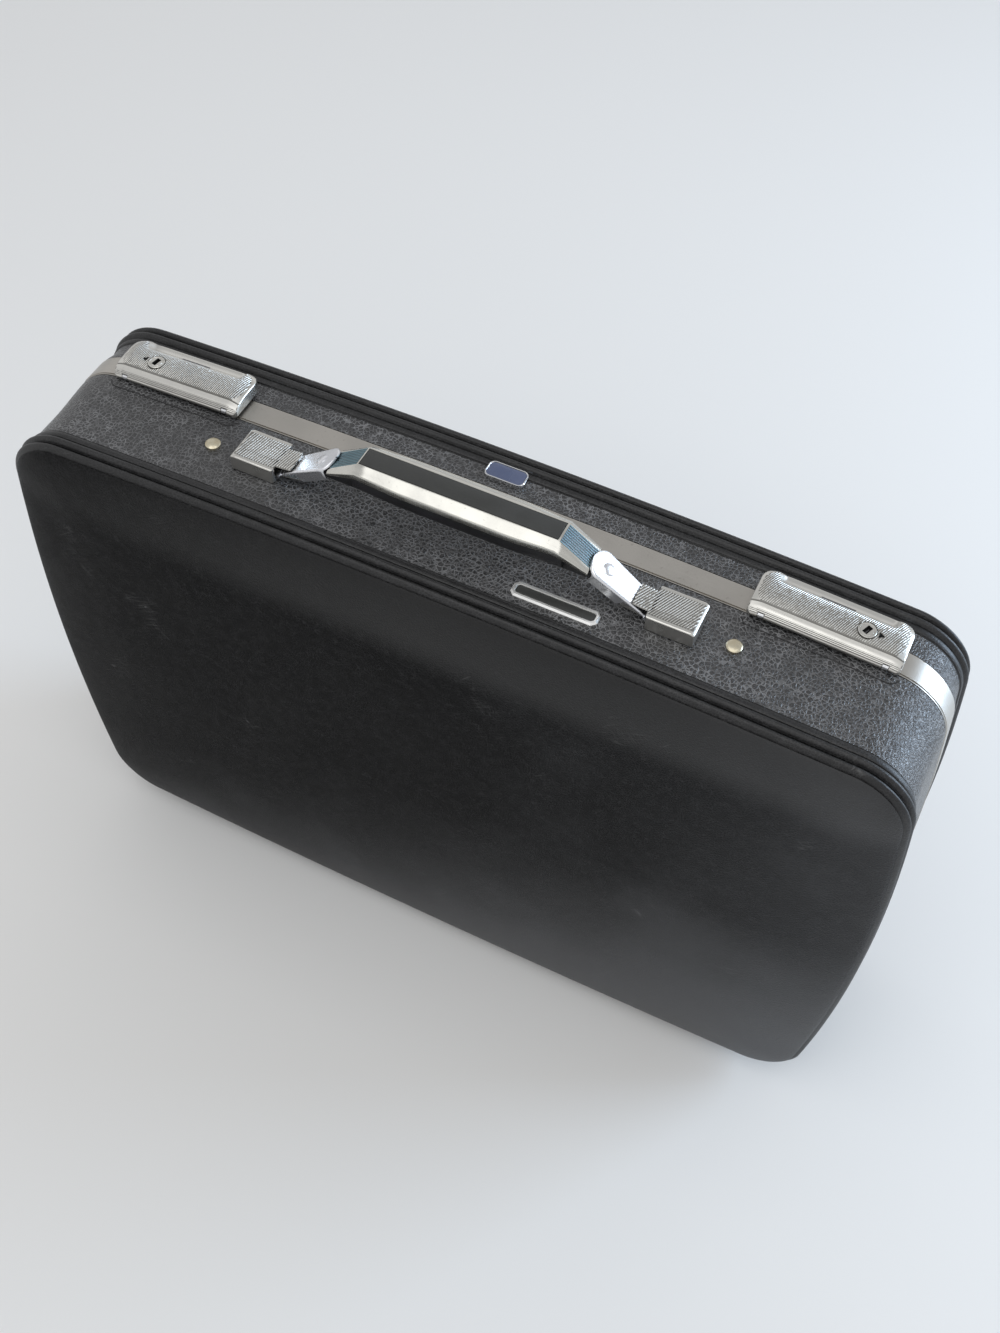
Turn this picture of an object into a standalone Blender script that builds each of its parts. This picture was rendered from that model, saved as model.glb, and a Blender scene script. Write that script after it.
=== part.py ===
"""Hard-shell travel case with two flip latches, a lifting carry handle and a lid hinged at the bottom.

Metres, +Z up. The case stands on four feet with its front face towards -Y, its handle on top and
its hinges underneath. The origin is on the ground under the middle of the case.
"""

import math

import bmesh
import bpy
from mathutils import Matrix, Vector

# Case body: width, height and depth are measured over the edge beads
case_width = 0.533
case_height = 0.362
bead_spacing = 0.0974
ground_clearance = 0.004
corner_radius = 0.0328
side_bow = 0.0114
top_bow = 0.0067
least_corner_radius = 0.006
corner_segments = 6
long_side_points = 5
short_side_points = 3

# Crowned faces of the two halves
crown_rise = 0.0092
crown_reach = 0.077
crown_reach_shares = (0.04, 0.12, 0.26, 0.5, 0.78, 1.0)
shell_thickness = 0.003
face_edge_inset = 0.0036
face_edge_rise = 0.0052

# Seam band, tongue and lid edge, as depths behind the front bead's groove
band_front = 0.0577
band_rear = 0.0732
seam_gap = 0.0003
band_inset = 0.0012
band_thickness = 0.0012
band_flange = 0.001
tongue_inset = 0.0056
tongue_thickness = 0.001
tongue_length = 0.0043
rabbet_inset = 0.0029
wall_inset_at_seam = 0.0015
lip_inner_inset = 0.0052

# Edge bead: shares of the face's edge inset, with shares of the edge's rise on the face's side
# of the groove and shares of the bead's depth on the wall's side
bead_depth = 0.012
face_side_bead_shares = (
    (1.0, 1.0),
    (0.5, 0.885),
    (0.194, 0.615),
    (0.167, 0.269),
    (0.472, 0.0),
)
wall_side_bead_shares = (
    (0.083, 0.117),
    (0.0, 0.233),
    (0.167, 0.35),
    (0.472, 0.433),
    (0.528, 0.783),
    (0.75, 0.867),
    (0.833, 1.0),
)
wall_waist_inset = 0.0027
wall_waist_depth = 0.030
lid_waist_inset = 0.0024
lid_waist_depth = 0.0165

# Inside surface of each shell and the lining that covers it
inner_wall_inset = 0.0064
inner_corner_inset = 0.0095
inner_corner_depth = 0.0022
lid_rim_inset = 0.0056
lid_rim_front = 0.0796
lid_rim_rear = 0.0866
lid_rim_thickness = 0.0009
lining_gap = 0.0004
lining_thickness = 0.0012
lining_edge_drop = 0.0035

# Flip latches: a hinged ribbed cover over the seam, tilted to the bowed top edge
latch_from_side = 0.0805
latch_length = 0.0795
latch_front = 0.0557
latch_rear = 0.0852
latch_tilt = math.radians(2.7)
latch_lift = 0.0003
latch_rear_radius = 0.009
latch_front_radius = 0.0025
latch_wall = 0.0011
latch_bottom = 0.0005
pivot_depth = 0.0573
pivot_height = 0.0021
roll_radius = 0.0017
roll_segments = 12
roll_first_angle = math.radians(-90)
roll_last_angle = math.radians(-225)
pivot_pin_radius = 0.0008
pivot_pin_clearance = 0.0002
pivot_pin_inset = 0.0032
knuckle_offset = 0.0322
knuckle_width = 0.003
knuckle_clearance = 0.0003
latch_height = 0.0093
# Top of the cover, as shares of its width from front to rear and of its height
latch_top_shares = (
    (0.159, 0.849),
    (0.315, 0.957),
    (0.485, 1.0),
    (0.654, 0.968),
    (0.773, 0.86),
    (0.864, 0.667),
    (0.942, 0.473),
    (1.0, 0.366),
    (1.0, 0.129),
)
latch_hollow_points = 6
latch_plate_front = 0.0602
latch_plate_rear = 0.0722
latch_plate_thickness = 0.001
latch_plate_margin = 0.0026
hook_front = 0.0787
hook_thickness = 0.0012
hook_width = 0.018
hook_bottom = 0.0020
hook_top = 0.0056
hook_flange = 0.0034
hook_flange_thickness = 0.001
keeper_front = 0.0752
keeper_rear = 0.0836
keeper_width = 0.026
keeper_thickness = 0.0009
keeper_lug_front = 0.0762
keeper_lug_thickness = 0.0014
keeper_lug_height = 0.0038
keeper_lift = 0.0004
lock_offset_x = 0.0176
lock_depth = 0.068
lock_radius = 0.0047
lock_clearance = 0.0003
lock_proud = 0.0003
lock_length = 0.0052
lock_slot_length = 0.0042
lock_slot_width = 0.0013
lock_slot_depth = 0.0022
lock_cam_length = 0.0062
lock_cam_width = 0.003
lock_cam_thickness = 0.001
spring_length = 0.026
spring_width = 0.007
spring_thickness = 0.0005
spring_offset_x = -0.012
spring_depth = 0.0665
spring_gap = 0.0003

# Carry handle, in heights above the top of the edge bead
handle_depth = 0.0368
grip_half_length = 0.055
grip_half_width = 0.0108
grip_top = 0.0306
grip_shoulder = 0.0268
grip_split = 0.0234
grip_bottom = 0.0112
grip_flat_half_width = 0.0062
grip_swell = 0.0014
slope_angle = math.radians(34)
slope_reach = 0.0175
slope_half_width = 0.009
cap_end_thickness = 0.0024
core_gap = 0.0003
core_half_width = 0.0096
core_flat_half_width = 0.0045
core_mid_height = 0.0165
core_knee_share = 0.333
core_end_reach = 0.0035
core_end_half_width = 0.0078
core_end_bottom = 0.0104
core_end_top = 0.0214
lug_half_width = 0.0062
lug_radius = 0.0024
lug_tuck = 0.005
inlay_inset = 0.0005
inlay_half_width = 0.0056
inlay_thickness = 0.0012
inlay_proud = 0.0003
inlay_gap = 0.0003

# Links from the grip's ends into the mounts, in the link's own sloping frame
pivot_reach = 0.0197
pivot_above_bead = 0.01365
link_top = 0.005
link_thickness = 0.0011
link_upper_end = -0.0068
link_lower_end = 0.0322
link_upper_half_width = 0.009
link_lower_half_width = 0.0068
link_flange_start = -0.0012
link_flange_end = 0.0175
link_flange_drop = 0.0066
link_flange_thickness = 0.0009
link_bar_radius = 0.0011
link_bar_half_length = 0.0079
link_pin_radius = 0.0012
link_pin_clearance = 0.0002
link_pin_half_length = 0.0084
link_dimple_radius = 0.0036
link_dimple_height = 0.0006
link_dimple_along = 0.0034
link_end_segments = 10

# Mounts that hold the links on the case
mount_from_pivot = 0.0303
mount_length = 0.0258
mount_half_width = 0.0111
mount_top = 0.0055
mount_wall = 0.0012
mount_tongue_reach = 0.0088
mount_tongue_half_width = 0.007
mount_tongue_rise = math.radians(7.5)
mount_mouth_half_width = 0.0088
mount_mouth_height = 0.0043
mount_plate_thickness = 0.001
mount_plate_gap = 0.0003
mount_lip_reach = 0.0158
mount_lip_half_width = 0.0055
mount_lip_rise = math.radians(12)
mount_lip_thickness = 0.0009
mount_lip_tuck = 0.0024
mount_seat_gap = 0.0003

# Hinges under the case
hinge_from_side = 0.1465
hinge_half_length = 0.016
hinge_axis_height = 0.0034
hinge_knuckle_radius = 0.0021
hinge_pin_radius = 0.001
hinge_pin_clearance = 0.0002
hinge_leaf_thickness = 0.001
hinge_leaf_top = 0.0055
hinge_leaf_reach = 0.0135
hinge_knuckle_share = 0.32
hinge_knuckle_gap = 0.0003
hinge_segments = 20

# Feet
foot_from_side = 0.0765
foot_radius = 0.0075
foot_base_depth = 0.036
foot_lid_depth = 0.0845
foot_lid_radius = 0.006
foot_seat_depth = 0.0003
foot_edge = 0.0012
foot_seat_clearance = 0.0003

# Rivets and bare plates
rivet_from_mount = 0.0179
rivet_depth = 0.0362
rivet_radius = 0.0042
rivet_top_radius = 0.0032
rivet_height = 0.0013
rivet_sink = 0.00211
plate_x = 0.0605
plate_depth = 0.0193
plate_length = 0.047
plate_width = 0.0098
plate_thickness = 0.0013
plate_sink = 0.00235
plate_edge = 0.0006
plate_frame_width = 0.0016
plate_field_gap = 0.0003
plate_field_sink = 0.00015
plate_floor = 0.0004
badge_x = 0.0018
badge_depth = 0.0853
badge_length = 0.023
badge_width = 0.0115
badge_thickness = 0.001
badge_corner = 0.0035
badge_sink = 0.0016

# Modelling values
cut_overrun = 0.002
curve_segments = 24
corner_steps = 6
round_smooth_angle = math.radians(40)
loft_smooth_angle = math.radians(35)

top_of_bead = ground_clearance + case_height
case_middle = ground_clearance + case_height / 2
groove_y = -bead_spacing / 2
bead_profile = [(face_edge_inset * inset, -face_edge_rise * depth) for inset, depth in face_side_bead_shares]
bead_profile += [(face_edge_inset * inset, bead_depth * depth) for inset, depth in wall_side_bead_shares]
latch_centre_x = case_width / 2 - latch_from_side
foot_x = case_width / 2 - foot_from_side
hinge_x = case_width / 2 - hinge_from_side
inlay_half_length = grip_half_length - inlay_inset
pivot_x = grip_half_length + pivot_reach
mount_inner = pivot_x + mount_from_pivot
mount_outer = mount_inner + mount_length
rivet_x = mount_outer + rivet_from_mount
latch_width = latch_rear - latch_front
latch_top_profile = [
    (latch_front + latch_width * depth, latch_height * height) for depth, height in latch_top_shares
]


def y_at(depth):
    """World Y of a depth behind the front bead's groove."""
    return groove_y + depth


def bow_drop(x):
    """How far the bowed top edge has fallen at this x."""
    return top_bow * (x / (case_width / 2)) ** 2


# Scene, collections and materials
for old in list(bpy.data.objects):
    bpy.data.objects.remove(old, do_unlink=True)
for old in list(bpy.data.collections):
    bpy.data.collections.remove(old)

case_parts = bpy.data.collections.new("travel_case")
cutters = bpy.data.collections.new("cutters")
bpy.context.scene.collection.children.link(case_parts)
bpy.context.scene.collection.children.link(cutters)


def make_material(name, colour, roughness, metallic):
    material = bpy.data.materials.new(name)
    material.use_nodes = True
    shader = material.node_tree.nodes["Principled BSDF"]
    shader.inputs["Base Color"].default_value = (*colour, 1.0)
    shader.inputs["Roughness"].default_value = roughness
    shader.inputs["Metallic"].default_value = metallic
    material.diffuse_color = (*colour, 1.0)
    return material


black_shell = make_material("black_grained_shell", (0.022, 0.023, 0.025), 0.5, 0.0)
satin_band = make_material("satin_band", (0.62, 0.59, 0.55), 0.32, 1.0)
chrome = make_material("chrome", (0.80, 0.80, 0.78), 0.14, 1.0)
brushed = make_material("ribbed_nickel", (0.70, 0.69, 0.65), 0.28, 1.0)
dark_steel = make_material("dark_steel", (0.16, 0.16, 0.17), 0.35, 1.0)
black_inlay = make_material("black_inlay", (0.035, 0.036, 0.034), 0.42, 0.0)
black_core = make_material("black_core", (0.020, 0.020, 0.022), 0.38, 0.0)
lining_cloth = make_material("lining_cloth", (0.42, 0.38, 0.31), 0.85, 0.0)
cream_rivet = make_material("cream_rivet", (0.66, 0.60, 0.46), 0.3, 0.6)
foot_rubber = make_material("foot_rubber", (0.03, 0.03, 0.03), 0.7, 0.0)


# Helpers
def place(bm, name, material, collection=None, smooth_angle=None):
    """A new object from a bmesh, with its normals outwards."""
    bmesh.ops.recalc_face_normals(bm, faces=bm.faces)
    if bm.calc_volume(signed=True) < 0:
        bmesh.ops.reverse_faces(bm, faces=bm.faces)
    mesh = bpy.data.meshes.new(name)
    bm.to_mesh(mesh)
    bm.free()
    obj = bpy.data.objects.new(name, mesh)
    (collection or case_parts).objects.link(obj)
    if material:
        mesh.materials.append(material)
    if smooth_angle:
        mesh.shade_smooth()
        mesh.set_sharp_from_angle(angle=smooth_angle)
    return obj


def as_cutter(obj):
    obj.hide_render = True
    obj.display_type = "WIRE"
    for collection in list(obj.users_collection):
        collection.objects.unlink(obj)
    cutters.objects.link(obj)
    return obj


def box_mesh(low, high):
    bm = bmesh.new()
    bmesh.ops.create_cube(bm, size=1.0)
    low = Vector(low)
    high = Vector(high)
    middle = (low + high) / 2
    span = high - low
    bmesh.ops.scale(bm, vec=span, verts=bm.verts)
    bmesh.ops.translate(bm, vec=middle, verts=bm.verts)
    return bm


def make_box(name, low, high, material, parent=None):
    obj = place(box_mesh(low, high), name, material)
    obj.parent = parent
    return obj


def make_cylinder(
    name, radius, start, end, material, parent=None, segments=curve_segments, end_radius=None
):
    """A closed cylinder or cone between two points."""
    start = Vector(start)
    end = Vector(end)
    run = end - start
    bm = bmesh.new()
    bmesh.ops.create_cone(
        bm,
        cap_ends=True,
        segments=segments,
        radius1=radius,
        radius2=radius if end_radius is None else end_radius,
        depth=run.length,
    )
    turn = Vector((0, 0, 1)).rotation_difference(run).to_matrix().to_4x4()
    bmesh.ops.transform(bm, matrix=Matrix.Translation((start + end) / 2) @ turn, verts=bm.verts)
    obj = place(bm, name, material, smooth_angle=round_smooth_angle)
    obj.parent = parent
    return obj


def add_boolean(obj, other, operation):
    modifier = obj.modifiers.new(operation.lower() + "_" + other.name, "BOOLEAN")
    modifier.operation = operation
    modifier.object = other
    return modifier


def cut(obj, cutter):
    add_boolean(obj, as_cutter(cutter), "DIFFERENCE")


def join(obj, other):
    add_boolean(obj, as_cutter(other), "UNION")


def keep_common(obj, other):
    add_boolean(obj, as_cutter(other), "INTERSECT")


def prism(name, outline, axis_start, axis_end, along, material=None, parent=None):
    """A flat outline of (a, b) pairs pushed along X, Y or Z."""
    bm = bmesh.new()
    if along == "X":
        points = [Vector((axis_start, a, b)) for a, b in outline]
        push = Vector((axis_end - axis_start, 0, 0))
    elif along == "Y":
        points = [Vector((a, axis_start, b)) for a, b in outline]
        push = Vector((0, axis_end - axis_start, 0))
    else:
        points = [Vector((a, b, axis_start)) for a, b in outline]
        push = Vector((0, 0, axis_end - axis_start))
    verts = [bm.verts.new(point) for point in points]
    face = bm.faces.new(verts)
    made = bmesh.ops.extrude_face_region(bm, geom=[face])
    moved = [item for item in made["geom"] if isinstance(item, bmesh.types.BMVert)]
    bmesh.ops.translate(bm, vec=push, verts=moved)
    obj = place(bm, name, material)
    obj.parent = parent
    return obj


def rounded_plan(x_low, x_high, y_low, y_high, front_radius, rear_radius):
    """Plan outline with its own corner radii at the front and at the rear."""
    outline = []
    corners = (
        (x_low + front_radius, y_low + front_radius, front_radius, math.pi),
        (x_high - front_radius, y_low + front_radius, front_radius, math.pi * 3 / 2),
        (x_high - rear_radius, y_high - rear_radius, rear_radius, 0),
        (x_low + rear_radius, y_high - rear_radius, rear_radius, math.pi / 2),
    )
    for centre_x, centre_y, radius, first in corners:
        for step in range(corner_steps + 1):
            angle = first + math.pi / 2 * step / corner_steps
            outline.append((centre_x + radius * math.cos(angle), centre_y + radius * math.sin(angle)))
    return outline


def rounded_rectangle(half_width, half_height, radius):
    """Points of a rounded rectangle round the case, clockwise from the top left."""
    points = []
    runs = (
        (-1, 1, math.pi, long_side_points),
        (1, 1, math.pi / 2, short_side_points),
        (1, -1, 0, long_side_points),
        (-1, -1, -math.pi / 2, short_side_points),
    )
    corners = []
    for side_x, side_z, first, between in runs:
        arc = []
        for step in range(corner_segments + 1):
            angle = first - math.pi / 2 * step / corner_segments
            arc.append(
                (
                    side_x * (half_width - radius) + radius * math.cos(angle),
                    side_z * (half_height - radius) + radius * math.sin(angle),
                )
            )
        corners.append((arc, between))
    for number, (arc, between) in enumerate(corners):
        points.extend(arc)
        following = corners[(number + 1) % len(corners)][0][0]
        last = arc[-1]
        for step in range(1, between + 1):
            share = step / (between + 1)
            points.append(
                (
                    last[0] + (following[0] - last[0]) * share,
                    last[1] + (following[1] - last[1]) * share,
                )
            )
    return points


def case_ring(inset, y):
    """One closed ring of the case's bowed outline, drawn in by the inset."""
    half_width = case_width / 2 - inset
    half_height = case_height / 2 - inset
    radius = max(corner_radius - inset, least_corner_radius)
    ring = []
    for x, z in rounded_rectangle(half_width, half_height, radius):
        out_x = side_bow * (1 - min(abs(z) / half_height, 1) ** 2)
        out_z = top_bow * (1 - min(abs(x) / half_width, 1) ** 2)
        x_share = min(abs(x) / (half_width - radius / 2), 1)
        z_share = min(abs(z) / (half_height - radius / 2), 1)
        new_x = x * (1 - side_bow / half_width) + math.copysign(out_x * x_share, x)
        new_z = z * (1 - top_bow / half_height) + math.copysign(out_z * z_share, z)
        ring.append(Vector((new_x, y, case_middle + new_z)))
    return ring


def loft(name, rings, material, closed_section=False):
    """A loft through unlike rings; the ends are capped, or the last ring joins the first."""
    bm = bmesh.new()
    loops = [[bm.verts.new(point) for point in ring] for ring in rings]
    pairs = list(zip(loops, loops[1:]))
    if closed_section:
        pairs.append((loops[-1], loops[0]))
    for first, second in pairs:
        for here in range(len(first)):
            after = (here + 1) % len(first)
            bm.faces.new((first[here], first[after], second[after], second[here]))
    if not closed_section:
        bm.faces.new(loops[0])
        bm.faces.new(loops[-1])
    return place(bm, name, material, smooth_angle=loft_smooth_angle)


def crown_depth(inset):
    """Depth of the crowned face at an inset from its edge, as a quarter ellipse."""
    share = min(max(inset - face_edge_inset, 0) / crown_reach, 1)
    return -face_edge_rise - crown_rise * math.sqrt(1 - (1 - share) ** 2)


def face_profile(extra_inset, thickness):
    """(inset, depth) of the crowned face from its middle to its edge."""
    profile = []
    for share in reversed(crown_reach_shares):
        inset = face_edge_inset + crown_reach * share
        profile.append((inset + extra_inset, crown_depth(inset) + thickness))
    return profile


# Front half: moulded shell with a rabbet for the seam band
base_outer = face_profile(0, 0) + bead_profile
base_outer += [
    (wall_waist_inset, wall_waist_depth),
    (wall_inset_at_seam, band_front - seam_gap),
    (rabbet_inset, band_front - seam_gap),
    (rabbet_inset, band_rear - band_flange - seam_gap),
]
base_inner = [
    (lip_inner_inset, band_rear - band_flange - seam_gap),
    (inner_wall_inset, band_front - seam_gap),
    (inner_wall_inset, bead_depth),
    (inner_corner_inset, inner_corner_depth),
]
base_inner += list(reversed(face_profile(inner_corner_inset, shell_thickness)))
base_shell = loft(
    "base_shell",
    [case_ring(inset, y_at(depth)) for inset, depth in base_outer + base_inner],
    black_shell,
)

# Seam band with its inward flange and the tongue that enters the lid
band_profile = (
    (band_inset, band_front),
    (band_inset, band_rear),
    (tongue_inset, band_rear),
    (tongue_inset, band_rear + tongue_length),
    (tongue_inset + tongue_thickness, band_rear + tongue_length),
    (tongue_inset + tongue_thickness, band_rear - band_flange),
    (band_inset + band_thickness, band_rear - band_flange),
    (band_inset + band_thickness, band_front),
)
base_band = loft(
    "base_band",
    [case_ring(inset, y_at(depth)) for inset, depth in band_profile],
    satin_band,
    closed_section=True,
)

# Rear half: the lid shell, shaped from the same bead turned round
lid_edge = band_rear + seam_gap


def from_rear(profile):
    """A profile measured from the rear bead's groove, turned to face backwards."""
    return [(inset, bead_spacing - depth) for inset, depth in profile]


lid_outer = from_rear(face_profile(0, 0) + bead_profile + [(lid_waist_inset, lid_waist_depth)])
lid_outer.append((wall_inset_at_seam, lid_edge))
lid_inner = [
    (lip_inner_inset, lid_edge),
    (lip_inner_inset, lid_rim_rear),
]
lid_inner += from_rear([(inner_corner_inset, inner_corner_depth)])
lid_inner += list(reversed(from_rear(face_profile(inner_corner_inset, shell_thickness))))
lid_shell = loft(
    "lid_shell",
    [case_ring(inset, y_at(depth)) for inset, depth in lid_outer + lid_inner],
    black_shell,
)

# Metal rim inside the lid's edge
rim_profile = (
    (lid_rim_inset, lid_rim_front),
    (lid_rim_inset, lid_rim_rear),
    (lid_rim_inset + lid_rim_thickness, lid_rim_rear),
    (lid_rim_inset + lid_rim_thickness, lid_rim_front),
)
lid_rim = loft(
    "lid_rim",
    [case_ring(inset, y_at(depth)) for inset, depth in rim_profile],
    satin_band,
    closed_section=True,
)


# Linings: thin trays that follow each shell's inside
def lining_profile(wall_inset, edge_depth):
    """Outside surface from the middle of the face to the edge, then back along the inside."""
    outer_face = face_profile(inner_corner_inset, shell_thickness + lining_gap)
    inner_face = face_profile(inner_corner_inset, shell_thickness + lining_gap + lining_thickness)
    corner = (inner_corner_inset + lining_gap, inner_corner_depth + lining_gap)
    inner_corner = (corner[0] + lining_thickness, corner[1] + lining_thickness)
    profile = outer_face + [corner, (wall_inset, edge_depth), (wall_inset + lining_thickness, edge_depth)]
    profile += [inner_corner] + list(reversed(inner_face))
    return profile


base_lining_profile = lining_profile(inner_wall_inset + lining_gap, band_front - lining_edge_drop)
lid_lining_profile = lining_profile(
    lid_rim_inset + lid_rim_thickness + lining_gap, bead_spacing - lid_rim_front - lining_edge_drop
)
base_lining = loft(
    "base_lining",
    [case_ring(inset, y_at(depth)) for inset, depth in base_lining_profile],
    lining_cloth,
)
lid_lining = loft(
    "lid_lining",
    [case_ring(inset, y_at(depth)) for inset, depth in from_rear(lid_lining_profile)],
    lining_cloth,
)


# Latches
def turned_points(centre_y, centre_z, radius, first, last, steps):
    points = []
    for step in range(steps + 1):
        angle = first + (last - first) * step / steps
        points.append((centre_y + radius * math.cos(angle), centre_z + radius * math.sin(angle)))
    return points


def latch_section():
    """Outside of the cover across its width: the front roll, the bevel and the ribbed top."""
    roll = turned_points(
        y_at(pivot_depth), pivot_height, roll_radius, roll_first_angle, roll_last_angle, roll_segments // 2
    )
    top = [(y_at(depth), height) for depth, height in latch_top_profile]
    rear_foot = (y_at(latch_rear), latch_bottom)
    heel = (y_at(pivot_depth + roll_radius), pivot_height - roll_radius)
    return roll + top + [rear_foot, heel]


def latch_hollow():
    """Inside of the cover, open underneath."""
    front = y_at(pivot_depth + roll_radius + pivot_pin_clearance)
    outline = [(front, latch_bottom - cut_overrun), (front, pivot_height + roll_radius)]
    outline += [
        (y_at(depth), height - latch_wall) for depth, height in latch_top_profile[:latch_hollow_points]
    ]
    outline.append((y_at(latch_rear) - latch_wall, latch_top_profile[-2][1] - latch_wall))
    outline.append((y_at(latch_rear) - latch_wall, latch_bottom - cut_overrun))
    return outline


def make_latch(side, name):
    """One latch, with its pieces under an empty on the tilted top edge."""
    seat = bpy.data.objects.new("latch_" + name + "_seat", None)
    case_parts.objects.link(seat)
    seat_height = top_of_bead - bow_drop(latch_centre_x) - band_inset + latch_lift
    seat.location = (side * latch_centre_x, 0, seat_height)
    seat.rotation_euler = (0, side * latch_tilt, 0)
    half = latch_length / 2

    cover = prism("latch_" + name + "_cover", latch_section(), -half, half, "X", brushed, seat)
    plan = rounded_plan(
        -half, half, y_at(latch_front), y_at(latch_rear), latch_front_radius, latch_rear_radius
    )
    plan_block = prism(name + "_plan", plan, -cut_overrun, latch_height + cut_overrun, "Z", None, seat)
    keep_common(cover, plan_block)
    hollow = prism(name + "_hollow", latch_hollow(), -half + latch_wall, half - latch_wall, "X", None, seat)
    inner_plan = rounded_plan(
        -half + latch_wall,
        half - latch_wall,
        y_at(latch_front),
        y_at(latch_rear) - latch_wall,
        latch_front_radius,
        latch_rear_radius - latch_wall,
    )
    keep_common(hollow, prism(name + "_inner_plan", inner_plan, -half, half, "Z", None, seat))
    cut(cover, hollow)
    for end in (-1, 1):
        notch_low = end * knuckle_offset - knuckle_width / 2 - knuckle_clearance
        notch_high = end * knuckle_offset + knuckle_width / 2 + knuckle_clearance
        notch_top = pivot_height + roll_radius + knuckle_clearance
        notch = box_mesh(
            (notch_low, y_at(latch_front) - cut_overrun, -cut_overrun),
            (notch_high, y_at(latch_plate_front) + knuckle_clearance, notch_top),
        )
        notch_box = place(notch, name + "_notch_" + str(end), None)
        notch_box.parent = seat
        cut(cover, notch_box)
    pin_centre = (y_at(pivot_depth), pivot_height)
    bore = make_cylinder(
        name + "_pin_bore",
        pivot_pin_radius + pivot_pin_clearance,
        (-half + pivot_pin_inset - knuckle_clearance, *pin_centre),
        (half - pivot_pin_inset + knuckle_clearance, *pin_centre),
        None,
        seat,
        roll_segments,
    )
    cut(cover, bore)
    lock_x = side * lock_offset_x
    lock_bore = make_cylinder(
        name + "_lock_bore",
        lock_radius + lock_clearance,
        (lock_x, y_at(lock_depth), pivot_height),
        (lock_x, y_at(lock_depth), latch_height + cut_overrun),
        None,
        seat,
    )
    cut(cover, lock_bore)

    make_cylinder(
        "latch_" + name + "_pin",
        pivot_pin_radius,
        (-half + pivot_pin_inset, *pin_centre),
        (half - pivot_pin_inset, *pin_centre),
        dark_steel,
        seat,
        roll_segments,
    )

    base = make_box(
        "latch_" + name + "_base",
        (-half + latch_plate_margin, y_at(latch_plate_front), 0),
        (half - latch_plate_margin, y_at(latch_plate_rear), latch_plate_thickness),
        chrome,
        seat,
    )
    for end in (-1, 1):
        low_x = end * knuckle_offset - knuckle_width / 2
        high_x = end * knuckle_offset + knuckle_width / 2
        barrel = make_cylinder(
            name + "_base_barrel_" + str(end),
            roll_radius,
            (low_x, *pin_centre),
            (high_x, *pin_centre),
            None,
            seat,
            roll_segments,
        )
        foot = place(
            box_mesh(
                (low_x, y_at(pivot_depth), 0),
                (high_x, y_at(latch_plate_front) + latch_plate_thickness, latch_plate_thickness),
            ),
            name + "_base_foot_" + str(end),
            None,
        )
        foot.parent = seat
        join(base, barrel)
        join(base, foot)
    knuckle_bore = make_cylinder(
        name + "_knuckle_bore",
        pivot_pin_radius + pivot_pin_clearance,
        (-half, *pin_centre),
        (half, *pin_centre),
        None,
        seat,
        roll_segments,
    )
    cut(base, knuckle_bore)

    hook = make_box(
        "latch_" + name + "_hook",
        (-hook_width / 2, y_at(hook_front), hook_bottom),
        (hook_width / 2, y_at(hook_front) + hook_thickness, hook_top),
        dark_steel,
        seat,
    )
    hook_flange_box = place(
        box_mesh(
            (-hook_width / 2, y_at(hook_front) - hook_flange, hook_top - hook_flange_thickness),
            (hook_width / 2, y_at(hook_front) + hook_thickness / 2, hook_top),
        ),
        name + "_hook_flange",
        None,
    )
    hook_flange_box.parent = seat
    join(hook, hook_flange_box)

    lock = make_cylinder(
        "latch_" + name + "_lock",
        lock_radius,
        (lock_x, y_at(lock_depth), latch_height + lock_proud - lock_length),
        (lock_x, y_at(lock_depth), latch_height + lock_proud),
        chrome,
        seat,
    )
    slot = place(
        box_mesh(
            (
                lock_x - lock_slot_length / 2,
                y_at(lock_depth) - lock_slot_width / 2,
                latch_height + lock_proud - lock_slot_depth,
            ),
            (
                lock_x + lock_slot_length / 2,
                y_at(lock_depth) + lock_slot_width / 2,
                latch_height + cut_overrun,
            ),
        ),
        name + "_key_slot",
        None,
    )
    slot.parent = seat
    cut(lock, slot)
    cam_top = latch_height + lock_proud - lock_length + lock_cam_thickness / 2
    cam = place(
        box_mesh(
            (lock_x - lock_cam_length, y_at(lock_depth) - lock_cam_width / 2, cam_top - lock_cam_thickness),
            (lock_x, y_at(lock_depth) + lock_cam_width / 2, cam_top),
        ),
        name + "_cam",
        None,
    )
    cam.parent = seat
    join(lock, cam)

    make_box(
        "latch_" + name + "_spring",
        (
            side * spring_offset_x - spring_length / 2,
            y_at(spring_depth) - spring_width / 2,
            latch_plate_thickness + spring_gap,
        ),
        (
            side * spring_offset_x + spring_length / 2,
            y_at(spring_depth) + spring_width / 2,
            latch_plate_thickness + spring_gap + spring_thickness,
        ),
        dark_steel,
        seat,
    )

    keeper = make_box(
        "latch_" + name + "_keeper",
        (-keeper_width / 2, y_at(keeper_front), keeper_lift),
        (keeper_width / 2, y_at(keeper_rear), keeper_lift + keeper_thickness),
        chrome,
        seat,
    )
    lug = place(
        box_mesh(
            (-hook_width / 2, y_at(keeper_lug_front), keeper_lift + keeper_thickness / 2),
            (hook_width / 2, y_at(keeper_lug_front) + keeper_lug_thickness, keeper_lug_height),
        ),
        name + "_keeper_lug",
        None,
    )
    lug.parent = seat
    join(keeper, lug)


for side, name in ((-1, "left"), (1, "right")):
    make_latch(side, name)


# Carry handle: black core below, chrome cap above, black inlay on top
def bar_ring(x, outline):
    return [Vector((x, y_at(handle_depth) + y, top_of_bead + z)) for y, z in outline]


def cap_outline(half_width, flat, top, shoulder, under):
    return (
        (-half_width, under),
        (-half_width, shoulder),
        (-flat, top),
        (flat, top),
        (half_width, shoulder),
        (half_width, under),
    )


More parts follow.
